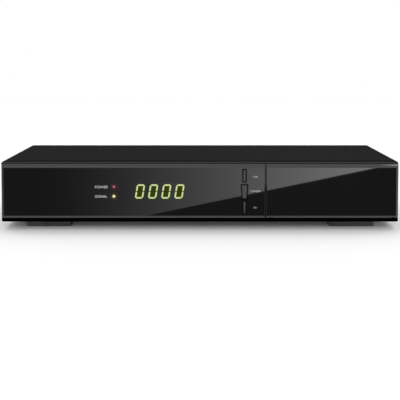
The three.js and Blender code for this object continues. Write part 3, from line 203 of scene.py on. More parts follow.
floor_light("back_light", BACK_ELEVATION, BACK_SPREAD, 1.0, BACK_SHARE)
floor_light("front_light", FRONT_ELEVATION, FRONT_SPREAD, -1.0, FRONT_SHARE)


# Edge lights
# Softboxes that show only in the polish of the plates, each in the bevel that faces it: one above the front
# for the top edges, one beside each end, and a thin one on the floor for the bottom edges.

TOP_ELEVATION = math.radians(45.8)
TOP_DISTANCE = 1.2
TOP_SIZE = (0.9, 0.2)
TOP_RADIANCE = 7.9
END_DISTANCE = 0.06
END_LEAD = 0.008
END_HEIGHT = 0.026
END_SIZE = (0.05, 0.05)
LEFT_RADIANCE = 3.0
RIGHT_RADIANCE = 5.0
STRIP_SIZE = (0.264, 0.00244)
STRIP_LEAD = 0.00178
STRIP_HEIGHT = 0.0004
STRIP_RADIANCE = 5.8
PLATE_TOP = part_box("front_plate")[1].z

plates = bpy.data.collections.new("plates")
plates.objects.link(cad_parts["front_plate"])
plates.objects.link(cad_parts["flap_door"])


def only_in_plates(light):
    """A light or card that only the gloss of the plates shows."""
    light.visible_camera = False
    light.visible_diffuse = False
    light.visible_transmission = False
    light.visible_volume_scatter = False
    light.light_linking.receiver_collection = plates


def edge_light(name, size, centre, away, radiance):
    """A softbox of an even radiance. Away points from the receiver to the light."""
    light = add_light(name, "AREA", centre, away)
    light.data.shape = "RECTANGLE"
    light.data.size, light.data.size_y = size
    light.data.energy = radiance * math.pi * size[0] * size[1]
    only_in_plates(light)


top_reach = Vector((0.0, -math.cos(TOP_ELEVATION), math.sin(TOP_ELEVATION)))
top_centre = Vector((0.0, FRONT_FACE, PLATE_TOP)) + top_reach * TOP_DISTANCE
edge_light("top_light", TOP_SIZE, top_centre, top_reach, TOP_RADIANCE)
for hand, radiance in ((-1.0, LEFT_RADIANCE), (1.0, RIGHT_RADIANCE)):
    centre = (hand * (cad_box[1].x + END_DISTANCE), FRONT_FACE - END_LEAD, END_HEIGHT)
    edge_light("end_light", END_SIZE, centre, (hand, 0.0, 0.0), radiance)
strip_centre = (0.0, FRONT_FACE - STRIP_LEAD, STRIP_HEIGHT)
edge_light("floor_light", STRIP_SIZE, strip_centre, (0.0, 0.0, -1.0), STRIP_RADIANCE)


# Glare cards
# Clear sheets that only the plates show. The large one is one wedge of light across the front, brighter to
# the right, and the small one a streak on the top bevel at the right end.

CARD_SHARE = 0.06
CARD_CORNERS = ((-0.1300, 0.0076), (-0.0432, 0.0076), (0.1354, 0.0450), (-0.1300, 0.0450))
CARD_START = -0.1074
CARD_FULL = 0.0972
CARD_RADIANCE = 18.0
CARD_CURVE = 1.75
BEVEL_DEPTH = 0.0012
BEVEL_HEIGHT = 0.0025
STREAK_CORNERS = ((0.1180, 0.30), (0.1308, 0.52), (0.1308, 0.10))
STREAK_RADIANCE = 24.0


def card_place(point, normal):
    """Where a card stands so that a polished face shows it at a point, in the picture."""
    sight = point - camera.location
    return point + (sight - 2.0 * sight.dot(normal) * normal) * CARD_SHARE


def add_card(name, corners):
    """A sheet that glows but throws no light or shade. Returns its nodes and its glow."""
    bm = bmesh.new()
    bm.faces.new([bm.verts.new(corner) for corner in corners])
    card, tree = stage_piece(name, bm)
    only_in_plates(card)
    card.visible_shadow = False
    glow = tree.nodes.new("ShaderNodeEmission")
    sheet = tree.nodes.new("ShaderNodeBsdfTransparent")
    both = tree.nodes.new("ShaderNodeAddShader")
    out = tree.nodes.new("ShaderNodeOutputMaterial")
    tree.links.new(glow.outputs[0], both.inputs[0])
    tree.links.new(sheet.outputs[0], both.inputs[1])
    tree.links.new(both.outputs[0], out.inputs[0])
    return tree, glow


forward = Vector((0.0, -1.0, 0.0))
wedge = [card_place(Vector((x, FRONT_FACE, z)), forward) for x, z in CARD_CORNERS]
tree, glow = add_card("glare_card", wedge)
spread_out = 1.0 + CARD_SHARE
place = tree.nodes.new("ShaderNodeTexCoord")
axes = tree.nodes.new("ShaderNodeSeparateXYZ")
along = tree.nodes.new("ShaderNodeMapRange")
along.clamp = False
along.inputs["From Min"].default_value = CARD_START * spread_out
along.inputs["From Max"].default_value = CARD_FULL * spread_out
lowest = math_node(tree, "MAXIMUM")
lowest.inputs[1].default_value = 0.0
curve = math_node(tree, "POWER")
curve.inputs[1].default_value = CARD_CURVE
level = math_node(tree, "MULTIPLY")
level.inputs[1].default_value = CARD_RADIANCE
tree.links.new(place.outputs["Object"], axes.inputs[0])
tree.links.new(axes.outputs["X"], along.inputs["Value"])
tree.links.new(along.outputs["Result"], lowest.inputs[0])
tree.links.new(lowest.outputs[0], curve.inputs[0])
tree.links.new(curve.outputs[0], level.inputs[0])
tree.links.new(level.outputs[0], glow.inputs["Strength"])

upward = Vector((0.0, -BEVEL_HEIGHT, BEVEL_DEPTH)).normalized()
streak = []
for x, share in STREAK_CORNERS:
    depth = BEVEL_DEPTH * (1.0 - share)
    point = Vector((x, FRONT_FACE + depth, PLATE_TOP - BEVEL_HEIGHT * share))
    streak.append(card_place(point, upward))
tree, glow = add_card("streak_card", streak)
glow.inputs["Strength"].default_value = STREAK_RADIANCE


# Tray
# Zinc-plated sheet steel: the floor, the side flanges and the rear wall are one folded piece. The plating
# shows fine spangle and the duller patches that handling leaves.

GRAIN_DETAIL = 2.0
GRAIN_ROUGHNESS = 0.55
GRAIN_RELIEF = 0.0001
SMEAR_DETAIL = 5.0
SMEAR_ROUGHNESS = 0.6
SMEAR_RANGE = (0.3, 0.7)
DUST_COLOUR = (0.45, 0.44, 0.42, 1.0)
WELD_REACH = 0.000001
MM_IN_METRE = 1000.0


def group_socket(tree, name, kind, is_input, default=None):
    """A way in or out of a node group."""
    socket = tree.interface.new_socket(name, in_out="INPUT" if is_input else "OUTPUT", socket_type=kind)
    if default is not None:
        socket.default_value = default
    return socket


grain = bpy.data.node_groups.new("surface_grain", "ShaderNodeTree")
group_socket(grain, "Scale", "NodeSocketFloat", True, 2500.0)
group_socket(grain, "Depth", "NodeSocketFloat", True, 0.2)
group_socket(grain, "Normal", "NodeSocketVector", False)
grain_in = grain.nodes.new("NodeGroupInput")
grain_out = grain.nodes.new("NodeGroupOutput")
place = grain.nodes.new("ShaderNodeTexCoord")
pebble = grain.nodes.new("ShaderNodeTexNoise")
pebble.inputs["Detail"].default_value = GRAIN_DETAIL
pebble.inputs["Roughness"].default_value = GRAIN_ROUGHNESS
bump = grain.nodes.new("ShaderNodeBump")
bump.inputs["Distance"].default_value = GRAIN_RELIEF
grain.links.new(place.outputs["Object"], pebble.inputs["Vector"])
grain.links.new(grain_in.outputs["Scale"], pebble.inputs["Scale"])
grain.links.new(grain_in.outputs["Depth"], bump.inputs["Strength"])
grain.links.new(pebble.outputs["Fac"], bump.inputs["Height"])
grain.links.new(bump.outputs["Normal"], grain_out.inputs["Normal"])

marks = bpy.data.node_groups.new("sheen_marks", "ShaderNodeTree")
group_socket(marks, "Low", "NodeSocketFloat", True, 0.4)
group_socket(marks, "High", "NodeSocketFloat", True, 0.5)
group_socket(marks, "Scale", "NodeSocketFloat", True, 30.0)
group_socket(marks, "Base", "NodeSocketColor", True, (0.1, 0.1, 0.1, 1.0))
group_socket(marks, "Dust", "NodeSocketFloat", True, 0.05)
group_socket(marks, "Roughness", "NodeSocketFloat", False)
group_socket(marks, "Color", "NodeSocketColor", False)
marks_in = marks.nodes.new("NodeGroupInput")
marks_out = marks.nodes.new("NodeGroupOutput")
place = marks.nodes.new("ShaderNodeTexCoord")
smear = marks.nodes.new("ShaderNodeTexNoise")
smear.inputs["Detail"].default_value = SMEAR_DETAIL
smear.inputs["Roughness"].default_value = SMEAR_ROUGHNESS
spread = marks.nodes.new("ShaderNodeMapRange")
spread.inputs["From Min"].default_value = SMEAR_RANGE[0]
spread.inputs["From Max"].default_value = SMEAR_RANGE[1]
dust_level = math_node(marks, "MULTIPLY")
dust_share, clean, dusty, dusted = colour_mix(marks)
dusty.default_value = DUST_COLOUR
marks.links.new(place.outputs["Object"], smear.inputs["Vector"])
marks.links.new(marks_in.outputs["Scale"], smear.inputs["Scale"])
marks.links.new(smear.outputs["Fac"], spread.inputs["Value"])
marks.links.new(marks_in.outputs["Low"], spread.inputs["To Min"])
marks.links.new(marks_in.outputs["High"], spread.inputs["To Max"])
marks.links.new(spread.outputs["Result"], marks_out.inputs["Roughness"])
marks.links.new(smear.outputs["Fac"], dust_level.inputs[0])
marks.links.new(marks_in.outputs["Dust"], dust_level.inputs[1])
marks.links.new(dust_level.outputs[0], dust_share)
marks.links.new(marks_in.outputs["Base"], clean)
marks.links.new(dusted, marks_out.inputs["Color"])


def finish(
    name, colour, rough, grain_size, grain_depth,
    mark_scale=30.0, dust=0.04, metallic=0.0, specular=0.5, ior=1.5,
):
    """A finish with its grain and marks. Rough is its lowest and highest roughness, grain_size is in mm."""
    material = bpy.data.materials.new(name)
    material.use_nodes = True
    tree = material.node_tree
    shader = tree.nodes["Principled BSDF"]
    shader.inputs["Metallic"].default_value = metallic
    shader.inputs["Specular IOR Level"].default_value = specular
    shader.inputs["IOR"].default_value = ior
    handling = tree.nodes.new("ShaderNodeGroup")
    handling.name = "marks"
    handling.node_tree = marks
    handling.inputs["Low"].default_value = rough[0]
    handling.inputs["High"].default_value = rough[1]
    handling.inputs["Scale"].default_value = mark_scale
    handling.inputs["Base"].default_value = (*colour, 1.0)
    handling.inputs["Dust"].default_value = dust
    tree.links.new(handling.outputs["Roughness"], shader.inputs["Roughness"])
    tree.links.new(handling.outputs["Color"], shader.inputs["Base Color"])
    if grain_depth > 0.0:
        texture = tree.nodes.new("ShaderNodeGroup")
        texture.node_tree = grain
        texture.inputs["Scale"].default_value = MM_IN_METRE / grain_size
        texture.inputs["Depth"].default_value = grain_depth
        tree.links.new(texture.outputs["Normal"], shader.inputs["Normal"])
    return material


def dress(material, *names):
    """Gives CAD nodes their finish."""
    for name in names:
        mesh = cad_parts[name].data
        mesh.materials.clear()
        mesh.materials.append(material)


def paint(name, material, chosen):
    """Gives some faces of a CAD node another finish. Chosen is asked with a face's middle and its normal."""
    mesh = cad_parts[name].data
    mesh.materials.append(material)
    for face in mesh.polygons:
        if chosen(face.center, face.normal):
            face.material_index = len(mesh.materials) - 1


def smooth(angle, *names):
    """Shades the curved faces of CAD nodes as round. Edges that turn by more than the angle stay crisp."""
    for name in names:
        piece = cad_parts[name]
        piece.data.shade_smooth()
        weld = piece.modifiers.new("weld", "WELD")
        weld.merge_threshold = WELD_REACH
        split = piece.modifiers.new("crisp_edges", "EDGE_SPLIT")
        split.split_angle = math.radians(angle)
        split.use_edge_sharp = False


zinc = finish(
    "zinc_sheet", (0.56, 0.57, 0.58), (0.34, 0.5), 3.0, 0.05, mark_scale=60.0, dust=0.1, metallic=0.8
)
dress(zinc, "chassis_tray")
smooth(30.0, "chassis_tray")
tray_low, tray_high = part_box("chassis_tray")
REAR_WALL = tray_high.y


# Tray screws
# Zinc-plated pan-head screws, each with a cross painted dark as the shade of its recess. Eight come up
# through the floor into the standoffs of the boards, and smaller ones hold the scart and audio sockets to the
# rear wall.

SCREW_HEIGHT = 0.0013
STANDOFF_INSET = 0.005
STANDOFF_SCREW = 0.0027
SCART_SCREW = 0.0014
SCART_SCREW_GAP = 0.0027
SCART_SCREW_HEIGHT = 0.0009
AUDIO_SCREW = 0.002
AUDIO_SCREW_HEIGHT = 0.0011
CROWN_SHARE = 0.55
CROSS_LENGTH_SHARE = 1.1
CROSS_WIDTH_SHARE = 0.24
CROSS_DEPTH_SHARE = 0.1
CROSS_PLACE_SHARE = 0.96


def finish_piece(name, bm, body, slot, *materials):
    """Turns a bmesh into a piece that rides on a body."""
    mesh = bpy.data.meshes.new(name)
    bm.normal_update()
    bm.to_mesh(mesh)
    bm.free()
    for material in materials:
        mesh.materials.append(material)
    piece = bpy.data.objects.new(name, mesh)
    bpy.context.scene.collection.objects.link(piece)
    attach(piece, body)
    return piece


def add_part(bm, part):
    """Adds one bmesh to another and frees it."""
    mesh = bpy.data.meshes.new("part")
    part.to_mesh(mesh)
    part.free()
    bm.from_mesh(mesh)
    bpy.data.meshes.remove(mesh)


def add_screw(bm, centre, outward, radius, height=SCREW_HEIGHT):
    """A pan head seated on a surface, with a rounded rim and a cross in its crown, painted dark as the shade
    of its recess.
    """
    head = bmesh.new()
    bmesh.ops.create_cone(head, cap_ends=True, segments=32, radius1=radius, radius2=radius, depth=height)
    bmesh.ops.translate(head, verts=head.verts, vec=(0.0, 0.0, height / 2))
    rim = [edge for edge in head.edges if all(vert.co.z > height / 2 for vert in edge.verts)]
    crown = height * CROWN_SHARE
    bmesh.ops.bevel(head, geom=rim, offset=crown, segments=4, profile=0.5, affect="EDGES", material=-1)
    arms = bmesh.new()
    length, width = radius * CROSS_LENGTH_SHARE, radius * CROSS_WIDTH_SHARE
    for turn in (0.0, math.pi / 2):
        rise = Matrix.Translation((0.0, 0.0, height * CROSS_PLACE_SHARE))
        size = Matrix.Diagonal((length, width, height * CROSS_DEPTH_SHARE, 1.0))
        bmesh.ops.create_cube(arms, size=1.0, matrix=Matrix.Rotation(turn, 4, "Z") @ rise @ size)
    # Painted shade: the cross takes the dark second finish in place of the shade of a recess.
    for face in arms.faces:
        face.material_index = 1
    add_part(head, arms)
    turn = Vector(outward).to_track_quat("Z", "Y").to_matrix().to_4x4()
    bmesh.ops.transform(head, verts=head.verts, matrix=Matrix.Translation(centre) @ turn)
    add_part(bm, head)


screw_zinc = finish(
    "screw_zinc", (0.6, 0.6, 0.58), (0.25, 0.38), 0.8, 0.08, mark_scale=200.0, metallic=1.0
)
# Painted shade for the crosses in the screw heads.
recess_painted_shade = finish("recess_painted_shade", (0.02, 0.02, 0.02), (0.6, 0.7), 0.3, 0.0, specular=0.1)

down = (0.0, 0.0, -1.0)
backward = (0.0, 1.0, 0.0)
bm = bmesh.new()
for board in ("main_board", "power_board"):
    low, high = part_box(board)
    for x in (low.x + STANDOFF_INSET, high.x - STANDOFF_INSET):
        for y in (low.y + STANDOFF_INSET, high.y - STANDOFF_INSET):
            add_screw(bm, (x, y, tray_low.z), down, STANDOFF_SCREW)
low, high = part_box("scart_socket")
for x in (low.x - SCART_SCREW_GAP, high.x + SCART_SCREW_GAP):
    add_screw(bm, (x, REAR_WALL, (low.z + high.z) / 2), backward, SCART_SCREW, SCART_SCREW_HEIGHT)
low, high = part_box("av_socket_block")
middle = (low + high) / 2
add_screw(bm, (middle.x, REAR_WALL, middle.z), backward, AUDIO_SCREW, AUDIO_SCREW_HEIGHT)
finish_piece("tray_screws", bm, "receiver", "plain_steel", screw_zinc, recess_painted_shade)


# Rear wording
# Plain words printed in black on the plated wall, one beside each socket. Each has its node, its shift from
# the node's middle and its height on the wall.

REAR_WORDS = (
    ("SATELLITE", "satellite_tuner", 0.0, 0.0353),
    ("LNB OUT", "lnb_out_connector", 0.0, 0.0316),
    ("LNB IN", "lnb_in_connector", 0.0, 0.0316),
    ("AERIAL", "terrestrial_tuner", 0.0, 0.0353),
    ("OUT", "aerial_out_plug", 0.0, 0.0316),
    ("IN", "aerial_in_socket", 0.0, 0.0316),
    ("DIGITAL AV", "hdmi_socket", 0.0, 0.0222),
    ("TV", "scart_socket", 0.0, 0.0302),
    ("AUDIO  VIDEO", "av_socket_block", 0.0, 0.0397),
    ("L", "av_socket_block", -0.0143, 0.0317),
    ("R", "av_socket_block", -0.0143, 0.0193),
    ("NETWORK", "network_usb_socket", 0.0, 0.0397),
    ("POWER", "power_switch", 0.0, 0.0103),
    ("MAINS", "mains_inlet", 0.0, 0.0103),
)
WORD_HEIGHT = 0.0015
INK_RISE = 0.00003
FRONT_TURN = Matrix.Rotation(math.pi / 2, 4, "X")
REAR_TURN = Matrix.Rotation(math.pi, 4, "Z") @ FRONT_TURN


def add_words(bm, words, height, place):
    """Adds words as a flat mesh. Height is that of a capital, and place moves them from the x-y plane."""
    letters = bpy.data.curves.new("words", "FONT")
    letters.body = words
    letters.size = 1.0
    letters.resolution_u = 3
    text = bpy.data.objects.new("words", letters)
    bpy.context.scene.collection.objects.link(text)
    bpy.context.view_layer.update()
    flat = bpy.data.meshes.new_from_object(text)
    low = Vector([min(v.co[i] for v in flat.vertices) for i in range(3)])
    high = Vector([max(v.co[i] for v in flat.vertices) for i in range(3)])
    flat.transform(Matrix.Scale(height / (high.y - low.y), 4) @ Matrix.Translation(-(low + high) / 2))
    flat.transform(place)
    bm.from_mesh(flat)
    bpy.data.meshes.remove(flat)
    bpy.data.objects.remove(text)
    bpy.data.curves.remove(letters)


ink_black = finish("ink_black", (0.02, 0.02, 0.02), (0.5, 0.6), 0.3, 0.1, specular=0.3)
bm = bmesh.new()
for words, node, shift, z in REAR_WORDS:
    low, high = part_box(node)
    place = Matrix.Translation(((low.x + high.x) / 2 + shift, REAR_WALL + INK_RISE, z))
    add_words(bm, words, WORD_HEIGHT, place @ REAR_TURN)
finish_piece("rear_words", bm, "receiver", "black_steel", ink_black)


# Feet
# Four pads of moulded rubber. Each snaps into the floor of the tray with its peg.

foot_rubber = finish("foot_rubber", (0.24, 0.24, 0.243), (0.75, 0.9), 0.6, 0.3, specular=0.15)
FEET = ("front_left_foot", "front_right_foot", "rear_left_foot", "rear_right_foot")
dress(foot_rubber, *FEET)
smooth(50.0, *FEET)


# Boards
# The supply stands on plain brown laminate, and the other two boards are green under their solder mask. Fine
# copper tracks show through, side by side in long runs.

TRACK_WIDTH = 0.05
TRACK_BLUR = 0.1
RUN_LENGTH = 6.3
RUN_SPACING = 0.38
RUN_STAGGER = 0.37
MASK_SHADE = 0.93


def board_finish(name, mask, track, rough, cell):
    """A laminate with its tracks. The sizes of the tracks are shares of the cell, which is in mm."""
    material = finish(name, mask, rough, 1.5, 0.1, mark_scale=120.0, dust=0.06)
    tree = material.node_tree
    place = tree.nodes.new("ShaderNodeTexCoord")
    runs = tree.nodes.new("ShaderNodeTexBrick")
    runs.offset = RUN_STAGGER
    runs.squash = 1.0
    runs.inputs["Scale"].default_value = MM_IN_METRE / cell
    runs.inputs["Mortar Size"].default_value = TRACK_WIDTH
    runs.inputs["Mortar Smooth"].default_value = TRACK_BLUR
    runs.inputs["Brick Width"].default_value = RUN_LENGTH
    runs.inputs["Row Height"].default_value = RUN_SPACING
    runs.inputs["Color1"].default_value = (*mask, 1.0)
    runs.inputs["Color2"].default_value = (*(value * MASK_SHADE for value in mask), 1.0)
    runs.inputs["Mortar"].default_value = (*track, 1.0)
    tree.links.new(place.outputs["Object"], runs.inputs["Vector"])
    tree.links.new(runs.outputs["Color"], tree.nodes["marks"].inputs["Base"])
    return material


green_board = board_finish("green_board", (0.015, 0.1, 0.035), (0.03, 0.15, 0.05), (0.28, 0.4), 3.0)
dress(green_board, "display_board", "main_board")
tan_board = board_finish("tan_board", (0.38, 0.22, 0.09), (0.4, 0.238, 0.1), (0.45, 0.6), 6.0)
dress(tan_board, "power_board")


# Power supply
# Both coils have dark ferrite cores. The transformer's is wrapped in amber tape, and the choke shows its
# copper wire. The capacitors wear blue sleeves, and the fuse is a glass tube between nickelled caps.

TAPE_HALF_WIDTH = 0.0119
COIL_HALF_WIDTH = 0.0062
CORE_TOP = 0.0025
FUSE_GLASS_HALF = 0.0045
FUSE_CLIP_RISE = 0.0022
GLASS_CLEAR = 0.7
FACING = 0.9


def is_wound(name, reach):
    """Picks the winding of a coil, which ends below the top of its core."""
    low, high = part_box(name)
    middle = (low.x + high.x) / 2
    return lambda p, n: abs(p.x - middle) < reach and p.z < high.z - CORE_TOP


ferrite = finish("ferrite", (0.035, 0.035, 0.038), (0.5, 0.65), 0.6, 0.2, specular=0.4)
amber_tape = finish("amber_tape", (0.48, 0.25, 0.04), (0.3, 0.45), 2.0, 0.2, mark_scale=150.0)
copper_wire = finish("copper_wire", (0.55, 0.2, 0.07), (0.25, 0.4), 0.4, 0.5, metallic=0.9)
dress(ferrite, "transformer", "mains_choke")
paint("transformer", amber_tape, is_wound("transformer", TAPE_HALF_WIDTH))
paint("mains_choke", copper_wire, is_wound("mains_choke", COIL_HALF_WIDTH))

CANS = ("mains_capacitor", "output_capacitor_1", "output_capacitor_2", "output_capacitor_3")
sleeve_blue = finish("sleeve_blue", (0.02, 0.035, 0.11), (0.22, 0.32), 1.0, 0.05)
can_top = finish("can_top", (0.62, 0.63, 0.64), (0.3, 0.42), 0.5, 0.1, metallic=1.0)
dress(sleeve_blue, *CANS)
for name in CANS:
    paint(name, can_top, lambda p, n: n.z > FACING)
smooth(30.0, *CANS)

nickel = finish("nickel", (0.62, 0.6, 0.56), (0.16, 0.28), 2.0, 0.04, metallic=1.0)
fuse_glass = finish("fuse_glass", (0.6, 0.64, 0.64), (0.04, 0.08), 1.0, 0.0)
fuse_glass.node_tree.nodes["Principled BSDF"].inputs["Transmission Weight"].default_value = GLASS_CLEAR
dress(nickel, "fuse")
fuse_low, fuse_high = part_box("fuse")
fuse_y = (fuse_low.y + fuse_high.y) / 2


def is_fuse_tube(point, normal):
    """The glass between the caps, above the clips."""
    return abs(point.y - fuse_y) < FUSE_GLASS_HALF and point.z > fuse_low.z + FUSE_CLIP_RISE


paint("fuse", fuse_glass, is_fuse_tube)
smooth(30.0, "fuse")

sink_metal = finish("sink_metal", (0.42, 0.43, 0.44), (0.35, 0.5), 0.8, 0.1, metallic=1.0)
dress(sink_metal, "power_heat_sink", "processor_heat_sink")
cable_grey = finish("cable_grey", (0.5, 0.5, 0.48), (0.4, 0.55), 1.0, 0.1, mark_scale=300.0)
dress(cable_grey, "power_harness", "inlet_lead", "switch_lead", "display_ribbon")
smooth(40.0, "power_harness", "inlet_lead", "switch_lead", "display_ribbon")


# Processor and memory
# Black packages moulded in resin and soldered to the main board: the processor under its heat sink, and two
# memory chips beside it.

moulded_black = finish("moulded_black", (0.022, 0.022, 0.022), (0.42, 0.55), 0.35, 0.2, specular=0.35)
dress(moulded_black, "processor", "memory_chip_1", "memory_chip_2")


# Mains inlet and switch
# Black moulded housings that snap into the rear wall. The inlet has two nickelled pins, the switch has flat
# nickelled blades inside, and the rocker carries its two printed marks.

INLET_PIN_PITCH = 0.0086
INLET_PIN = 0.0013
INLET_BACK = 0.001
SWITCH_BLADE = 0.0068
ROCKER_MARK = 0.0021
ROCKER_STROKE = 0.0005

dress(moulded_black, "mains_inlet", "power_switch", "power_rocker")
smooth(30.0, "mains_inlet", "power_rocker")
inlet_low, inlet_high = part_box("mains_inlet")
inlet_middle = (inlet_low + inlet_high) / 2


def is_inlet_pin(point, normal):
    """The two round pins, but not the back of the housing."""
    across = abs(abs(point.x - inlet_middle.x) - INLET_PIN_PITCH / 2)
    near_pin = math.hypot(across, point.z - inlet_middle.z) < INLET_PIN
    return near_pin and point.y > inlet_low.y + INLET_BACK


paint("mains_inlet", nickel, is_inlet_pin)
switch_low, switch_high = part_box("power_switch")
paint("power_switch", nickel, lambda p, n: p.y < switch_low.y + SWITCH_BLADE)

ink_white = finish("ink_white", (0.85, 0.85, 0.84), (0.45, 0.55), 0.3, 0.1, dust=0.0)
bm = bmesh.new()
switch_x = (switch_low.x + switch_high.x) / 2
for hand in (-1.0, 1.0):
    wing = [
        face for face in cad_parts["power_rocker"].data.polygons
        if face.normal.y > FACING and (face.center.x - switch_x) * hand > 0.0
    ]
    area = sum(face.area for face in wing)
    centre = sum((face.center * face.area for face in wing), Vector()) / area
    outward = sum((face.normal * face.area for face in wing), Vector()).normalized()
    across = Vector((0.0, 0.0, 1.0)).cross(outward).normalized()
    upward = outward.cross(across)
    place = Matrix.Translation(centre + outward * INK_RISE)
    place = place @ Matrix((across, upward, outward)).transposed().to_4x4()
    mark = bmesh.new()
    if hand > 0.0:
        bmesh.ops.create_grid(mark, x_segments=1, y_segments=1, size=0.5)
        bmesh.ops.scale(mark, verts=mark.verts, vec=(ROCKER_STROKE, 2 * ROCKER_MARK, 1.0))
    else:
        bmesh.ops.create_circle(mark, cap_ends=True, segments=40, radius=ROCKER_MARK)
        disc = mark.faces[:]
        bmesh.ops.inset_individual(mark, faces=disc, thickness=ROCKER_STROKE)
        bmesh.ops.delete(mark, geom=disc, context="FACES_ONLY")
    bmesh.ops.transform(mark, verts=mark.verts, matrix=place)
    add_part(bm, mark)
finish_piece("rocker_marks", bm, "power_rocker", "dark_plastic", ink_white)


# Network and data socket
# A tinned shell over a black insert. Eight gilded wires spring up in the network jack, and four contacts lie
# on the tongue above it.

SHELL_LIP = 0.0002
SHELL_BACK = 0.001
INSERT_HALF_WIDTH = 0.0065
INSERT_BOTTOM = 0.0010
INSERT_TOP = 0.0230
JACK_WIRES = 8
JACK_PITCH = 0.00102
JACK_WIRE = (0.0005, 0.0100, 0.00025)
JACK_DEPTH = 0.0072
JACK_RISE = 0.0034
JACK_TILT = math.radians(-13.0)
TONGUE_DEPTH = 0.0052
TONGUE_RISE = 0.01925
DATA_CONTACTS = 4
DATA_PITCH = 0.0022
DATA_CONTACT = (0.0012, 0.0064, 0.0001)

tin = finish(
    "tin_shell", (0.6, 0.6, 0.58), (0.25, 0.4), 4.0, 0.05, mark_scale=80.0, dust=0.05, metallic=1.0
)
gilt = finish("gilt", (0.83, 0.58, 0.24), (0.18, 0.28), 1.0, 0.02, metallic=1.0, dust=0.0)
dress(tin, "network_usb_socket")
network_low, network_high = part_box("network_usb_socket")
network_x = (network_low.x + network_high.x) / 2


def is_insert(point, normal):
    """All that lies inside the shell, behind its lip and in front of its back."""
    in_depth = network_low.y + SHELL_BACK < point.y < network_high.y - SHELL_LIP
    in_height = INSERT_BOTTOM < point.z - network_low.z < INSERT_TOP
    return in_depth and in_height and abs(point.x - network_x) < INSERT_HALF_WIDTH


paint("network_usb_socket", moulded_black, is_insert)


def add_contacts(bm, count, pitch, size, place):
    """A row of flat contacts, laid along x. Place sets the row's middle and tilt."""
    for step in range(count):
        shift = Matrix.Translation(((step - (count - 1) / 2) * pitch, 0.0, 0.0))
        bmesh.ops.create_cube(bm, size=1.0, matrix=place @ shift @ Matrix.Diagonal((*size, 1.0)))


bm = bmesh.new()
jack = Matrix.Translation((network_x, network_high.y - JACK_DEPTH, network_low.z + JACK_RISE))
add_contacts(bm, JACK_WIRES, JACK_PITCH, JACK_WIRE, jack @ Matrix.Rotation(JACK_TILT, 4, "X"))
tongue = Matrix.Translation((network_x, network_high.y - TONGUE_DEPTH, network_low.z + TONGUE_RISE))
add_contacts(bm, DATA_CONTACTS, DATA_PITCH, DATA_CONTACT, tongue)
finish_piece("network_contacts", bm, "receiver", "nickel", gilt)


# Audio and video sockets
# One black block carries four phono sockets. Each has a nickelled sleeve, with a plastic collar and core in
# its own colour.

PHONO_PITCH_X = 0.0134
PHONO_PITCH_Z = 0.0124
PHONO_COLLAR = 0.0054
PHONO_SLEEVE = 0.0043
PHONO_CORE = 0.0027
PHONO_BORE = 0.0017
COLLAR_RISE = 0.00085
COLLAR_SLACK = 0.0002
PHONO_COLOURS = {
    "phono_yellow": (1.0, 1.0, (0.75, 0.52, 0.02)),
    "phono_orange": (1.0, -1.0, (0.72, 0.2, 0.02)),
    "phono_white": (-1.0, 1.0, (0.75, 0.74, 0.7)),
    "phono_red": (-1.0, -1.0, (0.5, 0.02, 0.02)),
}

dress(moulded_black, "av_socket_block")
audio_low, audio_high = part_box("av_socket_block")
audio_middle = (audio_low + audio_high) / 2


def phono_radius(point, hand_x, hand_z):
    """How far a point is from the axis of one of the four sockets."""
    x = audio_middle.x + hand_x * PHONO_PITCH_X / 2
    z = audio_middle.z + hand_z * PHONO_PITCH_Z / 2
    return math.hypot(point.x - x, point.z - z)


def is_sleeve(point, normal):
    """The sleeves, behind their collars."""
    nearest = min(phono_radius(point, a, b) for a in (-1.0, 1.0) for b in (-1.0, 1.0))
    return PHONO_CORE < nearest < PHONO_SLEEVE and point.y > REAR_WALL + COLLAR_RISE


def is_coloured(hand_x, hand_z):
    """Picks the collar and the core of one socket."""
    def chosen(point, normal):
        radius = phono_radius(point, hand_x, hand_z)
        at_wall = REAR_WALL - COLLAR_SLACK < point.y < REAR_WALL + COLLAR_RISE
        is_core = PHONO_BORE < radius < PHONO_CORE and point.y > REAR_WALL
        return is_core or radius < PHONO_COLLAR and at_wall
    return chosen


paint("av_socket_block", nickel, is_sleeve)
for name, (hand_x, hand_z, colour) in PHONO_COLOURS.items():
    plastic = finish(name, colour, (0.3, 0.42), 0.5, 0.1, dust=0.02)
    paint("av_socket_block", plastic, is_coloured(hand_x, hand_z))
smooth(30.0, "av_socket_block")


# Scart and digital video sockets
# The scart block is black, with a tinned spring blade at the bottom of each slot. The digital socket is a
# nickelled shell round a black tongue.

BLADE_DEPTH = 0.005
BLADE_SLACK = 0.0003
BLADE_REACH = 0.0045
DIGITAL_HALF_HEIGHT = 0.00065
DIGITAL_HALF_WIDTH = 0.0053

dress(moulded_black, "scart_socket")
dress(nickel, "hdmi_socket")
scart_low, scart_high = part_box("scart_socket")
digital_low, digital_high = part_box("hdmi_socket")
scart_z = (scart_low.z + scart_high.z) / 2
digital_middle = (digital_low + digital_high) / 2


def is_blade(point, normal):
    """The bottoms of the slots."""
    at_bottom = abs(point.y - (scart_high.y - BLADE_DEPTH)) < BLADE_SLACK
    return normal.y > FACING and at_bottom and abs(point.z - scart_z) < BLADE_REACH


def is_digital_tongue(point, normal):
    """The flat tongue in the middle of the shell."""
    flat = abs(point.z - digital_middle.z) < DIGITAL_HALF_HEIGHT
    return flat and abs(point.x - digital_middle.x) < DIGITAL_HALF_WIDTH


paint("scart_socket", tin, is_blade)
paint("hdmi_socket", moulded_black, is_digital_tongue)


# Tuners and their connectors
# Soldered tin cans with a pressed lid. The satellite connectors are threaded and held by a hexagon nut, and
# the aerial sockets are plain sleeves. All have a pale insulator round their contact.

LNB_INSULATOR = 0.0037
LNB_SINK = 0.0015
LNB_SLACK = 0.0005
LNB_CONTACT = 0.001
ANY_WAY = -2.0
AERIAL_INSULATOR = 0.0052
AERIAL_SINK = (0.0008, 0.0014)


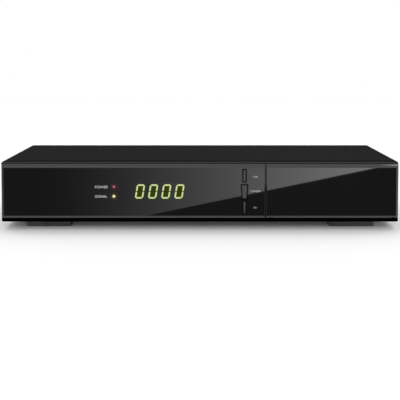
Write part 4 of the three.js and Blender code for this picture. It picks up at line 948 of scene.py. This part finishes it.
def round_axis(name, radius, near, far, lowest_facing):
    """Picks what lies round the axis of a connector, between two places along it."""
    low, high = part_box(name)
    centre = (low + high) / 2

    def chosen(point, normal):
        off_axis = math.hypot(point.x - centre.x, point.z - centre.z)
        return off_axis < radius and near < point.y < far and normal.y > lowest_facing
    return chosen


dress(tin, "terrestrial_tuner", "satellite_tuner")
insulator = finish("insulator", (0.72, 0.7, 0.64), (0.35, 0.45), 0.5, 0.05, dust=0.02)
dress(nickel, "lnb_in_connector", "lnb_out_connector", "aerial_in_socket", "aerial_out_plug")
for name in ("lnb_in_connector", "lnb_out_connector"):
    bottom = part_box(name)[1].y - LNB_SINK
    paint(name, insulator, round_axis(name, LNB_INSULATOR, bottom, bottom + LNB_SLACK, FACING))
    paint(name, gilt, round_axis(name, LNB_CONTACT, REAR_WALL, bottom, ANY_WAY))
for name in ("aerial_in_socket", "aerial_out_plug"):
    near, far = (REAR_WALL + sink for sink in AERIAL_SINK)
    paint(name, insulator, round_axis(name, AERIAL_INSULATOR, near, far, FACING))
smooth(25.0, "lnb_in_connector", "lnb_out_connector")
smooth(30.0, "aerial_in_socket", "aerial_out_plug")


# Front moulding
# Satin black plastic with a fine spark-eroded grain. It frames the plates above and below. Painted shade
# makes it blacker towards its lower edge and on the ledges that face up.

RIM_PAINTED_SHADE = (0.0004, 0.0004, 0.0004)
RIM_LIGHT = (0.046, 0.046, 0.047)
RIM_SHADE_BOTTOM = 0.0078
RIM_SHADE_TOP = 0.0420
LEDGE_FACING = 0.8


def paint_light_by_height(material, low_z, high_z, low_colour, high_colour):
    """Paints light and shade into a finish: its colour changes evenly from one to another between two
    heights.
    """
    tree = material.node_tree
    place = tree.nodes.new("ShaderNodeTexCoord")
    axes = tree.nodes.new("ShaderNodeSeparateXYZ")
    rise = tree.nodes.new("ShaderNodeMapRange")
    rise.interpolation_type = "SMOOTHSTEP"
    rise.inputs["From Min"].default_value = low_z
    rise.inputs["From Max"].default_value = high_z
    share, below, above, tone = colour_mix(tree)
    below.default_value = (*low_colour, 1.0)
    above.default_value = (*high_colour, 1.0)
    tree.links.new(place.outputs["Object"], axes.inputs[0])
    tree.links.new(axes.outputs["Z"], rise.inputs["Value"])
    tree.links.new(rise.outputs["Result"], share)
    tree.links.new(tone, tree.nodes["marks"].inputs["Base"])


front_satin = finish("front_satin", RIM_LIGHT, (0.42, 0.5), 0.25, 0.12, dust=0.0, specular=0.0)
# Painted shade: the satin turns blacker towards its lower edge.
paint_light_by_height(front_satin, RIM_SHADE_BOTTOM, RIM_SHADE_TOP, RIM_PAINTED_SHADE, RIM_LIGHT)
dress(front_satin, "front_fascia")
# Painted shade: the faces that look up are made darker.
front_ledge_painted_shade = finish(
    "front_ledge_painted_shade", (0.012, 0.012, 0.012), (0.5, 0.6), 0.25, 0.12, dust=0.0, specular=0.0
)
paint("front_fascia", front_ledge_painted_shade, lambda p, n: n.z > LEDGE_FACING)
smooth(35.0, "front_fascia")


# Card reader and front socket
# Behind the flap, the card reader is black with a funnel mouth. The socket beside it is folded from nickelled
# sheet, round a white tongue with four gilded contacts. The catch of the flap is white too.

PORT_HALF_WIDTH = 0.0056
PORT_BOTTOM = 0.0029
PORT_TOP = 0.0050
PORT_LIP = 0.0008
PORT_CONTACT_DEPTH = 0.0045
PORT_CONTACT_RISE = 0.00296

dress(moulded_black, "card_reader")
dress(nickel, "front_usb_socket")
port_low, port_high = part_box("front_usb_socket")
port_middle = (port_low + port_high) / 2


def is_port_tongue(point, normal):
    """The tongue inside the shell, behind its lip."""
    in_height = PORT_BOTTOM < point.z - port_low.z < PORT_TOP
    in_width = abs(point.x - port_middle.x) < PORT_HALF_WIDTH
    return in_height and in_width and point.y > port_low.y + PORT_LIP


paint("front_usb_socket", insulator, is_port_tongue)
bm = bmesh.new()
tongue = Matrix.Translation(
    (port_middle.x, port_low.y + PORT_CONTACT_DEPTH, port_low.z + PORT_CONTACT_RISE)
)
add_contacts(bm, DATA_CONTACTS, DATA_PITCH, DATA_CONTACT, tongue)
finish_piece("port_contacts", bm, "receiver", "nickel", gilt)
switch_white = finish("switch_white", (0.72, 0.7, 0.64), (0.4, 0.5), 0.4, 0.1)
dress(switch_white, "door_catch")


# Display, eye and push switches
# They stand on the front board: the display module in its black case, the eye under a smoked dome, and the
# three switches with their pale plungers.

dress(moulded_black, "display_module", "channel_up_switch", "standby_switch", "channel_down_switch")
dress(switch_white, "channel_up_plunger", "standby_plunger", "channel_down_plunger")
smooth(30.0, "channel_up_plunger", "standby_plunger", "channel_down_plunger")
smoked = finish("smoked_dome", (0.03, 0.012, 0.016), (0.08, 0.12), 1.0, 0.0)
dress(smoked, "infrared_eye")
smooth(30.0, "infrared_eye")


# Keys
# Three moulded caps in the slots of the plate. Their faces are satin grey, and their flanks are painted
# black, as painted shade in the slots.

KEY_FACING = -0.96
KEY_CREST = 0.0005

# Painted shade: the flanks are made black, as the shade in the slots.
key_flank_painted_shade = finish("key_flank_painted_shade", (0.006, 0.006, 0.006), (0.4, 0.5), 0.2, 0.1, dust=0.0, specular=0.1)
key_face = finish("key_face", (0.115, 0.115, 0.118), (0.32, 0.42), 0.2, 0.08, dust=0.0, specular=0.1)
for name in ("channel_up_key", "standby_key", "channel_down_key"):
    dress(key_flank_painted_shade, name)
    paint(name, key_face, lambda p, n: n.y < KEY_FACING and p.y < FRONT_FACE + KEY_CREST)


# Indicator lamps
# Light-emitting diodes in tinted domes, in holes of the plate. They glow most in the middle of the dome and
# fade towards its rim.

LAMP_RADIUS = 1.5
LAMP_CORE = 0.1
LAMP_RING = 0.6
RED_TINT = (0.15, 0.01, 0.02)
RED_GLOW = ((0.36, 0.12, 0.155), (0.25, 0.05, 0.08), (0.10, 0.004, 0.02))
YELLOW_TINT = (0.2, 0.18, 0.06)
YELLOW_GLOW = ((0.94, 0.93, 0.52), (0.50, 0.48, 0.20), (0.06, 0.05, 0.006))


def lamp_finish(name, tint_and_painted_glow, glow, node):
    """A lit dome. Glow holds its colours in the middle, halfway and at the rim."""
    material = finish(name, tint_and_painted_glow, (0.15, 0.25), 0.5, 0.0, dust=0.0)
    tree = material.node_tree
    shader = tree.nodes["Principled BSDF"]
    low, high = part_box(node)
    middle = (low + high) / 2
    place = tree.nodes.new("ShaderNodeTexCoord")
    centre = tree.nodes.new("ShaderNodeMapping")
    grow = MM_IN_METRE / LAMP_RADIUS
    centre.inputs["Location"].default_value = (-middle.x * grow, 0.0, -middle.z * grow)
    centre.inputs["Scale"].default_value = (grow, 0.0, grow)
    reach = tree.nodes.new("ShaderNodeVectorMath")
    reach.operation = "LENGTH"
    ramp = tree.nodes.new("ShaderNodeValToRGB")
    stops = ramp.color_ramp.elements
    stops[0].position = LAMP_CORE
    stops[0].color = (*glow[0], 1.0)
    stops[1].position = 1.0
    stops[1].color = (*glow[2], 1.0)
    stops.new(LAMP_RING).color = (*glow[1], 1.0)
    tree.links.new(place.outputs["Object"], centre.inputs["Vector"])
    tree.links.new(centre.outputs["Vector"], reach.inputs[0])
    tree.links.new(reach.outputs["Value"], ramp.inputs["Fac"])
    tree.links.new(ramp.outputs["Color"], shader.inputs["Emission Color"])
    shader.inputs["Emission Strength"].default_value = 1.0
    dress(material, node)


lamp_finish("lamp_red", RED_TINT, RED_GLOW, "power_lamp")
lamp_finish("lamp_yellow", YELLOW_TINT, YELLOW_GLOW, "signal_lamp")
smooth(40.0, "power_lamp", "signal_lamp")


# Gloss plates
# Polished black acrylic: one fixed plate at the left, and the flap at the right. They mirror the lights, and
# carry only very fine wipe marks. Their edges at the seam are matt, with a painted highlight that is brighter
# in their upper part.

ACRYLIC_BLACK = (0.0005, 0.0005, 0.0005)
ACRYLIC_IOR = 1.19
SEAM_DIM_HIGHLIGHT = (0.045, 0.045, 0.045)
SEAM_BRIGHT_HIGHLIGHT = (0.130, 0.130, 0.130)
SEAM_HIGHLIGHT_BOTTOM = 0.0275
SEAM_HIGHLIGHT_TOP = 0.0305
SEAM_REACH = 0.0007
SEAM_FACING = 0.3


def polished_acrylic(name):
    """The gloss of the plates, which the painted glow of the display shares."""
    return finish(
        name, ACRYLIC_BLACK, (0.03, 0.05), 1.0, 0.0, mark_scale=14.0, dust=0.001, ior=ACRYLIC_IOR
    )


dress(polished_acrylic("gloss_black"), "front_plate", "flap_door")
# Painted highlight: the seam edges are lighter than the acrylic, and lighter still in their upper part.
seam_painted_highlight = finish("seam_painted_highlight", SEAM_DIM_HIGHLIGHT, (0.5, 0.6), 0.2, 0.2, dust=0.0, specular=0.0)
paint_light_by_height(seam_painted_highlight, SEAM_HIGHLIGHT_BOTTOM, SEAM_HIGHLIGHT_TOP, SEAM_DIM_HIGHLIGHT, SEAM_BRIGHT_HIGHLIGHT)
seam_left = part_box("front_plate")[1].x
seam_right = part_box("flap_door")[0].x
paint("front_plate", seam_painted_highlight, lambda p, n: p.x > seam_left - SEAM_REACH and n.x > SEAM_FACING)
paint("flap_door", seam_painted_highlight, lambda p, n: p.x < seam_right + SEAM_REACH and n.x < -SEAM_FACING)


# Digits
# The four lit figures of the display, as they show through the plate. Each is built of slanted bars with cut
# corners, brighter along the middle. A painted glow on the plate lies round and inside them, and round the
# two lamps, in place of the light that the smoked acrylic scatters.

DIGIT_CENTRES = (-0.0392, -0.0306, -0.0220, -0.0134)
DIGIT_HALF_WIDTH = 0.00222
DIGIT_HALF_HEIGHT = 0.00418
DIGIT_LIFT = 0.00014
DIGIT_STROKE = 0.0011
DIGIT_SLANT = math.tan(math.radians(9.3))
BAR_GAP = 0.00012
BAR_CUT = 0.46
BAR_MARGIN = 0.2
EDGE_GREEN = (0.36, 0.46, 0.08)
CORE_GREEN = (0.60, 0.68, 0.38)
BAR_TINT = (0.05, 0.06, 0.03)
PAINTED_GLOW_REACH = 0.0013
PAINTED_GLOW_GREEN = (0.016, 0.026, 0.0)
INNER_PAINTED_GLOW = (0.033, 0.042, 0.004)
RED_PAINTED_HALO = (0.024, 0.001, 0.004)
YELLOW_PAINTED_HALO = (0.014, 0.012, 0.0)
LAMP_HOLE = 0.0018
PAINTED_HALO_REACH = 0.0032

display_low, display_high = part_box("display_module")
digit_z = (display_low.z + display_high.z) / 2 + DIGIT_LIFT


def add_bar(bm, length, centre, upright):
    """One lit bar in the x-z plane, about a centre given as x and z."""
    bar = bmesh.new()
    bmesh.ops.create_grid(bar, x_segments=1, y_segments=1, size=0.5)
    bmesh.ops.scale(bar, verts=bar.verts, vec=(length, DIGIT_STROKE, 1.0))
    bmesh.ops.bevel(
        bar, geom=bar.verts[:], offset=DIGIT_STROKE * BAR_CUT, segments=1, profile=0.5,
        affect="VERTICES", material=-1,
    )
    core = bar.faces[:]
    bmesh.ops.inset_individual(bar, faces=core, thickness=DIGIT_STROKE * BAR_MARGIN)
    for face in core:
        face.material_index = 1
    turn = Matrix.Rotation(math.pi / 2, 4, "Z") if upright else Matrix.Identity(4)
    place = Matrix.Translation((centre[0], 0.0, centre[1])) @ FRONT_TURN @ turn
    bmesh.ops.transform(bar, verts=bar.verts, matrix=place)
    add_part(bm, bar)


def light_up(material, colour, strength=1.0):
    """Lets a finish glow in an even colour."""
    shader = material.node_tree.nodes["Principled BSDF"]
    shader.inputs["Emission Color"].default_value = (*colour, 1.0)
    shader.inputs["Emission Strength"].default_value = strength


slanted = Matrix.Identity(4)
slanted[0][2] = DIGIT_SLANT
digits = bmesh.new()
painted_glows = bmesh.new()
tint_and_painted_glow = painted_glows.verts.layers.float_color.new("tint_and_painted_glow")
for centre in DIGIT_CENTRES:
    figure = bmesh.new()
    for hand in (-1.0, 1.0):
        add_bar(figure, 2 * DIGIT_HALF_WIDTH - BAR_GAP, (0.0, hand * DIGIT_HALF_HEIGHT), False)
        for half in (-0.5, 0.5):
            middle = (hand * DIGIT_HALF_WIDTH, half * DIGIT_HALF_HEIGHT)
            add_bar(figure, DIGIT_HALF_HEIGHT - BAR_GAP, middle, True)
    inside = bmesh.ops.create_grid(figure, x_segments=1, y_segments=1, size=1.0)["verts"]
    bmesh.ops.scale(figure, verts=inside, vec=(DIGIT_HALF_WIDTH, DIGIT_HALF_HEIGHT, 1.0))
    for face in {face for vert in inside for face in vert.link_faces}:
        face.material_index = 2
    behind = Matrix.Translation((0.0, INK_RISE / 2, 0.0))
    bmesh.ops.transform(figure, verts=inside, matrix=behind @ FRONT_TURN)
    place = Matrix.Translation((centre, FRONT_FACE - 2 * INK_RISE, digit_z)) @ slanted
    bmesh.ops.transform(figure, verts=figure.verts, matrix=place)
    add_part(digits, figure)
    # Painted glow on the plate round the figure.
    field = bmesh.ops.create_grid(painted_glows, x_segments=10, y_segments=14, size=0.5)["verts"]
    width = 2 * (DIGIT_HALF_WIDTH + PAINTED_GLOW_REACH)
    height = 2 * (DIGIT_HALF_HEIGHT + PAINTED_GLOW_REACH)
    for vert in field:
        fall = (1.0 - (2 * vert.co.x) ** 2) * (1.0 - (2 * vert.co.y) ** 4)
        vert[tint_and_painted_glow] = (*(share * fall for share in PAINTED_GLOW_GREEN), 1.0)
    bmesh.ops.scale(painted_glows, verts=field, vec=(width, height, 1.0))
    place = Matrix.Translation((centre, FRONT_FACE - INK_RISE, digit_z)) @ slanted
    bmesh.ops.transform(painted_glows, verts=field, matrix=place @ FRONT_TURN)
# Painted glow on the plate round each lamp.
for node, halo in (("power_lamp", RED_PAINTED_HALO), ("signal_lamp", YELLOW_PAINTED_HALO)):
    low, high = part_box(node)
    middle = (low + high) / 2
    ring = bmesh.ops.create_circle(painted_glows, segments=32, radius=LAMP_HOLE)["verts"]
    for vert in ring:
        vert[tint_and_painted_glow] = (*halo, 1.0)
    edges = list(dict.fromkeys(edge for vert in ring for edge in vert.link_edges))
    grown = bmesh.ops.extrude_edge_only(painted_glows, edges=edges)["geom"]
    outer = [item for item in grown if isinstance(item, bmesh.types.BMVert)]
    growth = PAINTED_HALO_REACH / LAMP_HOLE
    bmesh.ops.scale(painted_glows, verts=outer, vec=(growth, growth, 1.0))
    for vert in outer:
        vert[tint_and_painted_glow] = (0.0, 0.0, 0.0, 1.0)
    place = Matrix.Translation((middle.x, FRONT_FACE - INK_RISE, middle.z))
    bmesh.ops.transform(painted_glows, verts=ring + outer, matrix=place @ FRONT_TURN)
painted_glows.normal_update()
wrong_way = [face for face in painted_glows.faces if face.normal.y > 0.0]
bmesh.ops.reverse_faces(painted_glows, faces=wrong_way)

digit_edge = finish("digit_edge", BAR_TINT, (0.3, 0.4), 1.0, 0.0)
digit_core = finish("digit_core", BAR_TINT, (0.3, 0.4), 1.0, 0.0)
# The inside of each figure carries a painted glow.
digit_inside_painted_glow = finish(
    "digit_inside_painted_glow", (0.002, 0.003, 0.001), (0.3, 0.4), 1.0, 0.0, dust=0.0, specular=0.0
)
light_up(digit_edge, EDGE_GREEN)
light_up(digit_core, CORE_GREEN)
light_up(digit_inside_painted_glow, INNER_PAINTED_GLOW)
finish_piece("digits", digits, "receiver", "yellow_lens", digit_edge, digit_core, digit_inside_painted_glow)

# The painted glow takes its colours from the field of the sheet.
painted_display_glow = polished_acrylic("painted_display_glow")
tree = painted_display_glow.node_tree
shader = tree.nodes["Principled BSDF"]
glowing = tree.nodes.new("ShaderNodeAttribute")
glowing.attribute_name = "tint_and_painted_glow"
tree.links.new(glowing.outputs["Color"], shader.inputs["Emission Color"])
shader.inputs["Emission Strength"].default_value = 1.0
painted_glow_piece = finish_piece("painted_display_glow", painted_glows, "receiver", "gloss_black", painted_display_glow)
plates.objects.link(painted_glow_piece)


# Front wording
# Small white words printed on the plate, beside the lamps and the keys. Each has its node, its shift and its
# rise from the node's middle, and the height of its capitals.

FRONT_WORDS = (
    ("POWER", "power_lamp", -0.00800, -0.0001, 0.00175),
    ("SIGNAL", "signal_lamp", -0.00835, 0.0, 0.0017),
    ("CH+", "channel_up_key", 0.00725, -0.0008, 0.0012),
    ("STANDBY", "standby_key", 0.00720, 0.0002, 0.0011),
    ("CH-", "channel_down_key", 0.00690, 0.0, 0.0010),
)
PRINT_PAINTED_GLOW = 0.12

bm = bmesh.new()
for words, node, shift, rise, height in FRONT_WORDS:
    low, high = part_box(node)
    middle = (low + high) / 2
    place = Matrix.Translation((middle.x + shift, FRONT_FACE - INK_RISE, middle.z + rise))
    add_words(bm, words, height, place @ FRONT_TURN)
print_white = finish("print_white", (0.82, 0.82, 0.82), (0.4, 0.5), 0.2, 0.05, dust=0.0)
# Painted glow: the print glows a little, so that it looks brighter than its white.
light_up(print_white, (1.0, 1.0, 1.0), PRINT_PAINTED_GLOW)
finish_piece("front_words", bm, "receiver", "pale_plastic", print_white)


# Steel cover
# One folded sheet of 0.8 mm steel, powder coated in black. It drops over the tray, and black screws hold it
# at the sides and at the rear.

COVER_SCREW = 0.0028
SIDE_SCREW_Z = 0.0102
SIDE_SCREW_SHARES = (0.12, 0.5, 0.88)
REAR_SCREW_Z = 0.0403
REAR_SCREW_X = (-0.0463, 0.0200, 0.1090)

cover_paint = finish(
    "cover_paint", (0.0205, 0.0205, 0.0208), (0.55, 0.68), 0.5, 0.25,
    mark_scale=12.0, dust=0.004, specular=0.0,
)
dress(cover_paint, "top_cover")
smooth(35.0, "top_cover")
screw_black = finish(
    "screw_black", (0.03, 0.03, 0.032), (0.3, 0.42), 0.3, 0.1, specular=0.4, metallic=0.6
)
cover_low, cover_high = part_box("top_cover")
bm = bmesh.new()
for side, outward in ((cover_low.x, -1.0), (cover_high.x, 1.0)):
    for share in SIDE_SCREW_SHARES:
        y = cover_low.y + (cover_high.y - cover_low.y) * share
        add_screw(bm, (side, y, SIDE_SCREW_Z), (outward, 0.0, 0.0), COVER_SCREW)
for x in REAR_SCREW_X:
    add_screw(bm, (x, REAR_WALL, REAR_SCREW_Z), backward, COVER_SCREW)
finish_piece("cover_screws", bm, "receiver", "black_steel", screw_black, recess_painted_shade)


low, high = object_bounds()
